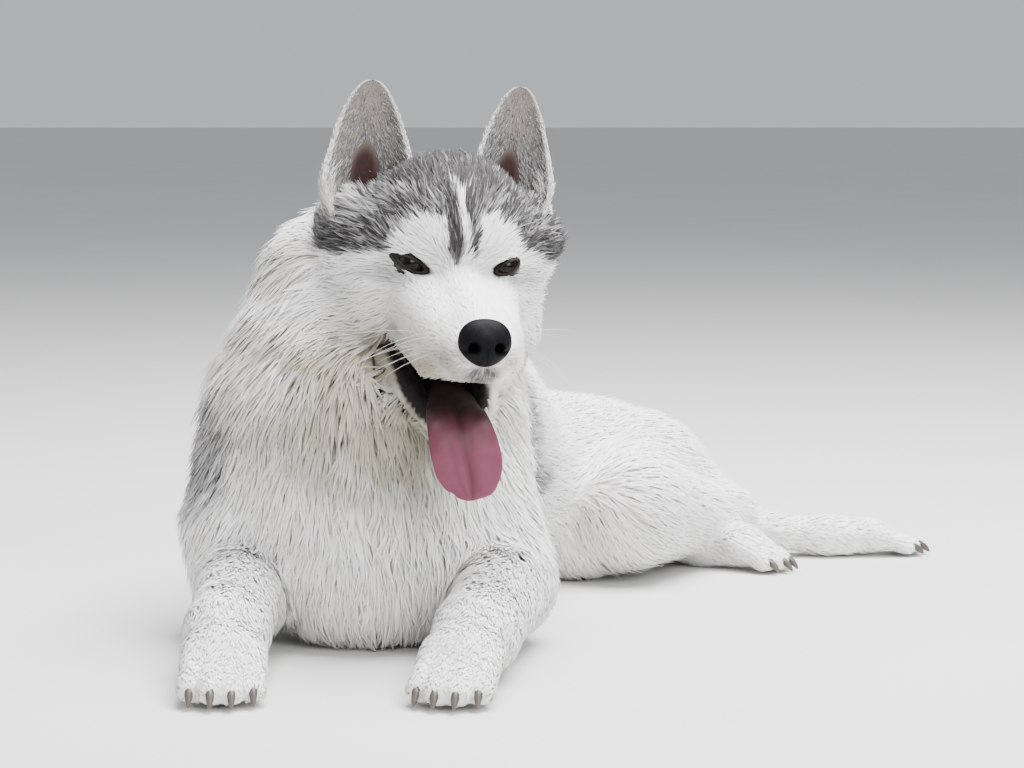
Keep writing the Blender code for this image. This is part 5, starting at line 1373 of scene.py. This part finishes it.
def coat_socket(tree, along=None, tone=None):
    """The coat's colour in a material, from the values on the points."""
    made = tree.nodes.new("ShaderNodeGroup")
    made.node_tree = coat_colour
    for key in ("Grey", "Dark", "Cream_and_shade"):
        tree.links.new(stored(tree, key.lower()), made.inputs[key])
    for key, value in (("Along", along), ("Tone", tone)):
        tree.links.new(stored(tree, key.lower()) if value is None else value, made.inputs[key])
    return made.outputs[0]


hair, tree, shader = material("hair", Roughness=.66, Specular_IOR_Level=.14, Sheen_Weight=.05,
                              Sheen_Roughness=.5)
streak = noise(tree, 900.0, 2.0)
base = coat_socket(tree)
feed(tree, shader, Base_Color=mixed(tree, calc(tree, "MULTIPLY", streak, .05), base, STREAK),
     Normal=bumped(tree, streak, .25, .0003))
dress(hair, *coat_pieces.values(), *ear_furs)

under, tree, shader = material("skin_under_hair", Specular_IOR_Level=.14)
grain = noise(tree, 420.0, 4.0)
bare = stored(tree, "bare")
coat = coat_socket(tree, along=calc(tree, "MULTIPLY", grain, .5), tone=grain)
lips = mixed(tree, noise(tree, 60.0), *LIPS)
feed(tree, shader, Base_Color=mixed(tree, bare, coat, lips),
     Roughness=calc(tree, "MULTIPLY_ADD", bare, -.28, .80),
     Normal=bumped(tree, grain, .50, .0010))
dress(under, skin)
print("coat colour:", len(coat_colour.nodes), "nodes")

# %% [markdown]
# Wet parts have a smooth coat of water over a rougher ground. The inside of an ear is thin skin, grey at the
# rims and red brown in the hollow, where blood and shade show through the sparse hair. Most colours come in
# pairs, because noise mottles a surface between two of them.

# %% Bare and wet parts
EAR_BACK = (.20, .19, .185, 1), (.52, .50, .48, 1)
EAR_INSIDE = (.17, .145, .135, 1), (.25, .215, .195, 1)
EAR_HOLLOW = (.018, .006, .005, 1), (.048, .017, .014, 1)
IRIS = (.003, .002, .0015, 1), (.012, .006, .004, 1)
IRIS_RIM, PUPIL = (.012, .008, .006, 1), (.001, .001, .001, 1)
LID_RIM = (.004, .0035, .0035, 1), (.014, .011, .010, 1)
LEATHER, NOSTRIL = ((.0015, .0015, .002, 1), (.005, .005, .0062, 1)), (.002, .002, .002, 1)
TONGUE_RED = (.115, .025, .051, 1), (.170, .046, .080, 1)
# Painted shade on the tongue: the upper lip's shadow at its root, and shade in its groove.
TONGUE_GROOVE_SHADE, TONGUE_IN_SHADOW = (.075, .018, .030, 1), (.030, .014, .013, 1)
TOOTH = (.52, .42, .26, 1), (.78, .73, .62, 1)
HORN, HORN_TIP = ((.012, .010, .009, 1), (.040, .032, .028, 1)), (.09, .07, .06, 1)
WHISKER = (.55, .52, .48, 1), (.90, .89, .87, 1)

ear_mat, tree, shader = material("ear_skin", Roughness=.7, Specular_IOR_Level=.3)
inner, hollow = stored(tree, "inner"), stored(tree, "hollow")
mottle = noise(tree, 130.0, 4.0)
outside = mixed(tree, mottle, *EAR_BACK)
inside = mixed(tree, mottle, *EAR_INSIDE)
deep = mixed(tree, mottle, *EAR_HOLLOW)
inside = mixed(tree, hollow, inside, deep)
feed(tree, shader, Base_Color=mixed(tree, inner, outside, inside), Normal=bumped(tree, mottle, .3, .0008))
dress(ear_mat, *ear_skins)

eye_mat, tree, shader = material("eyeball", Roughness=.10, Specular_IOR_Level=.12, Coat_Weight=.12,
                                 Coat_Roughness=.03)
fibre = node(tree, "ShaderNodeCombineXYZ", {0: stored(tree, "fibre_x"), 1: stored(tree, "fibre_y")})
strands = node(tree, "ShaderNodeTexNoise", {"Vector": fibre.outputs[0], "Scale": 9.0,
                                            "Detail": 4.0}).outputs["Fac"]
away = stored(tree, "from_sight")
iris = mixed(tree, strands, *IRIS)
ring = node(tree, "ShaderNodeMapRange", {0: away, 1: .44, 2: .54}).outputs[0]
pupil = node(tree, "ShaderNodeMapRange", {0: away, 1: .20, 2: .24}).outputs[0]
around = mixed(tree, ring, iris, IRIS_RIM)
feed(tree, shader, Base_Color=mixed(tree, pupil, PUPIL, around))
dress(eye_mat, *eyeballs)

rim_mat, tree, shader = material("lid_rims", Roughness=.50, Specular_IOR_Level=.14)
wet = noise(tree, 300.0, 3.0)
feed(tree, shader, Base_Color=mixed(tree, wet, *LID_RIM),
     Normal=bumped(tree, wet, .4, .0003))
dress(rim_mat, *eyelids)

nose_mat, tree, shader = material("nose_leather", Coat_Weight=.02, Coat_Roughness=.25)
place = node(tree, "ShaderNodeTexCoord").outputs["Object"]
cells = node(tree, "ShaderNodeTexVoronoi", {"Vector": place, "Scale": 900.0}, feature="DISTANCE_TO_EDGE")
pebble = calc(tree, "MULTIPLY", cells.outputs[0], 2.2, clamp=True)
tint = mixed(tree, noise(tree, 90.0), *LEATHER)
hole = stored(tree, "open")
feed(tree, shader, Base_Color=mixed(tree, hole, tint, NOSTRIL),
     Roughness=calc(tree, "MULTIPLY_ADD", noise(tree, 240.0), .25, .36),
     Specular_IOR_Level=calc(tree, "MULTIPLY_ADD", hole, -.055, .055),
     Normal=bumped(tree, pebble, .55, .0004))
dress(nose_mat, nose)

tongue_mat, tree, shader = material("tongue", Specular_IOR_Level=.16, Coat_Weight=.03, Coat_Roughness=.30,
                                    Subsurface_Weight=.12, Subsurface_Scale=.004)
shader.inputs["Subsurface Radius"].default_value = (1.0, .3, .25)
papillae = noise(tree, 1100.0, 2.0)
blotch = noise(tree, 70.0, 4.0)
flesh_tone = mixed(tree, blotch, *TONGUE_RED)
down = stored(tree, "along")
# Painted shadow: the tongue's root is darkened where the upper lip and the mouth shade it.
root_shade = node(tree, "ShaderNodeMapRange", {0: down, 1: .35, 2: .58, 3: 1.0, 4: 0.0}).outputs[0]
# Painted shade in the groove and in the fold beside it.
groove_shade = calc(tree, "MULTIPLY", stored(tree, "groove"), .85)
flesh_tone = mixed(tree, groove_shade, flesh_tone, TONGUE_GROOVE_SHADE)
flesh_tone = mixed(tree, root_shade, flesh_tone, TONGUE_IN_SHADOW)
feed(tree, shader, Base_Color=flesh_tone, Roughness=calc(tree, "MULTIPLY_ADD", blotch, .25, .34),
     Normal=bumped(tree, papillae, .30, .0004))
dress(tongue_mat, tongue_piece)

tooth_mat, tree, shader = material("tooth", Roughness=.28, Specular_IOR_Level=.5)
feed(tree, shader, Base_Color=mixed(tree, stored(tree, "along"), *TOOTH),
     Normal=bumped(tree, noise(tree, 400.0), .15, .0003))
dress(tooth_mat, tooth_piece)

claw_mat, tree, shader = material("claw_horn", Roughness=.42, Specular_IOR_Level=.5)
horn = noise(tree, 260.0, 4.0)
feed(tree, shader, Base_Color=mixed(tree, stored(tree, "along"), mixed(tree, horn, *HORN), HORN_TIP),
     Normal=bumped(tree, horn, .3, .0003))
dress(claw_mat, claw_piece)

whisker_mat, tree, shader = material("whisker", Roughness=.35)
feed(tree, shader, Base_Color=mixed(tree, stored(tree, "along"), *WHISKER))
dress(whisker_mat, whisker_piece)
print("materials:", len(bpy.data.materials))

# %% [markdown]
# The stage is a pale floor under a wide, soft light from above and in front, as under an open grey sky. The
# camera stands two metres off, a little above the dog's head, and looks down.

# %% Floor, light and camera
FLOOR_HALF = 30
FLOOR_GREY = (.60, .60, .59, 1), (.66, .66, .65, 1)
SKY_COLOUR, SKY_STRENGTH = (.90, .93, .97, 1), .62
# name, place, aim, size in metres, power in watts
LIGHTS = [("sky", (.6, .1, 2.4), (.1, .2, 0), 2.0, 300),
          ("front", (1.5, -2.5, 1.6), (.05, 0, .25), 1.6, 84),
          ("fill", (-2.2, -1.2, 1.3), (.05, .1, .2), 1.6, 14)]
CAMERA_AT, CAMERA_LENS, SENSOR_WIDTH = (.114, -2.175, .44), 95.98, 36.0
CAMERA_DIP = math.atan((384 - 90) / 2730)

floor_mesh = bpy.data.meshes.new("floor")
floor_mesh.from_pydata([(x * FLOOR_HALF, y * FLOOR_HALF, 0) for x, y in ((-1, -1), (1, -1), (1, 1), (-1, 1))],
                       [], [(0, 1, 2, 3)])
floor = bpy.data.objects.new("floor", floor_mesh)
bpy.context.scene.collection.objects.link(floor)
floor_mat, tree, shader = material("floor", Roughness=.85, Specular_IOR_Level=.2)
feed(tree, shader, Base_Color=mixed(tree, noise(tree, 3.0), *FLOOR_GREY))
dress(floor_mat, floor)


def area_light(name, place, aim, size, power):
    """A square area light that looks from its place at aim."""
    lamp = bpy.data.lights.new(name, "AREA")
    lamp.size = size
    lamp.energy = power
    thing = bpy.data.objects.new(name, lamp)
    thing.location = place
    way = np.array(aim, float) - place
    thing.rotation_euler = (math.atan2(math.hypot(way[0], way[1]), -way[2]), 0, math.atan2(-way[0], way[1]))
    bpy.context.scene.collection.objects.link(thing)


for row in LIGHTS:
    area_light(*row)
world = bpy.data.worlds.new("world")
bpy.context.scene.world = world
world.use_nodes = True
world.node_tree.nodes["Background"].inputs[0].default_value = SKY_COLOUR
world.node_tree.nodes["Background"].inputs[1].default_value = SKY_STRENGTH

camera = bpy.data.objects.new("camera", bpy.data.cameras.new("camera"))
camera.data.lens = CAMERA_LENS
camera.data.sensor_width = SENSOR_WIDTH
camera.location = CAMERA_AT
camera.rotation_euler = (math.pi / 2 - CAMERA_DIP, 0, 0)
bpy.context.scene.collection.objects.link(camera)
bpy.context.scene.camera = camera
print("camera at", tuple(round(c, 3) for c in camera.location))
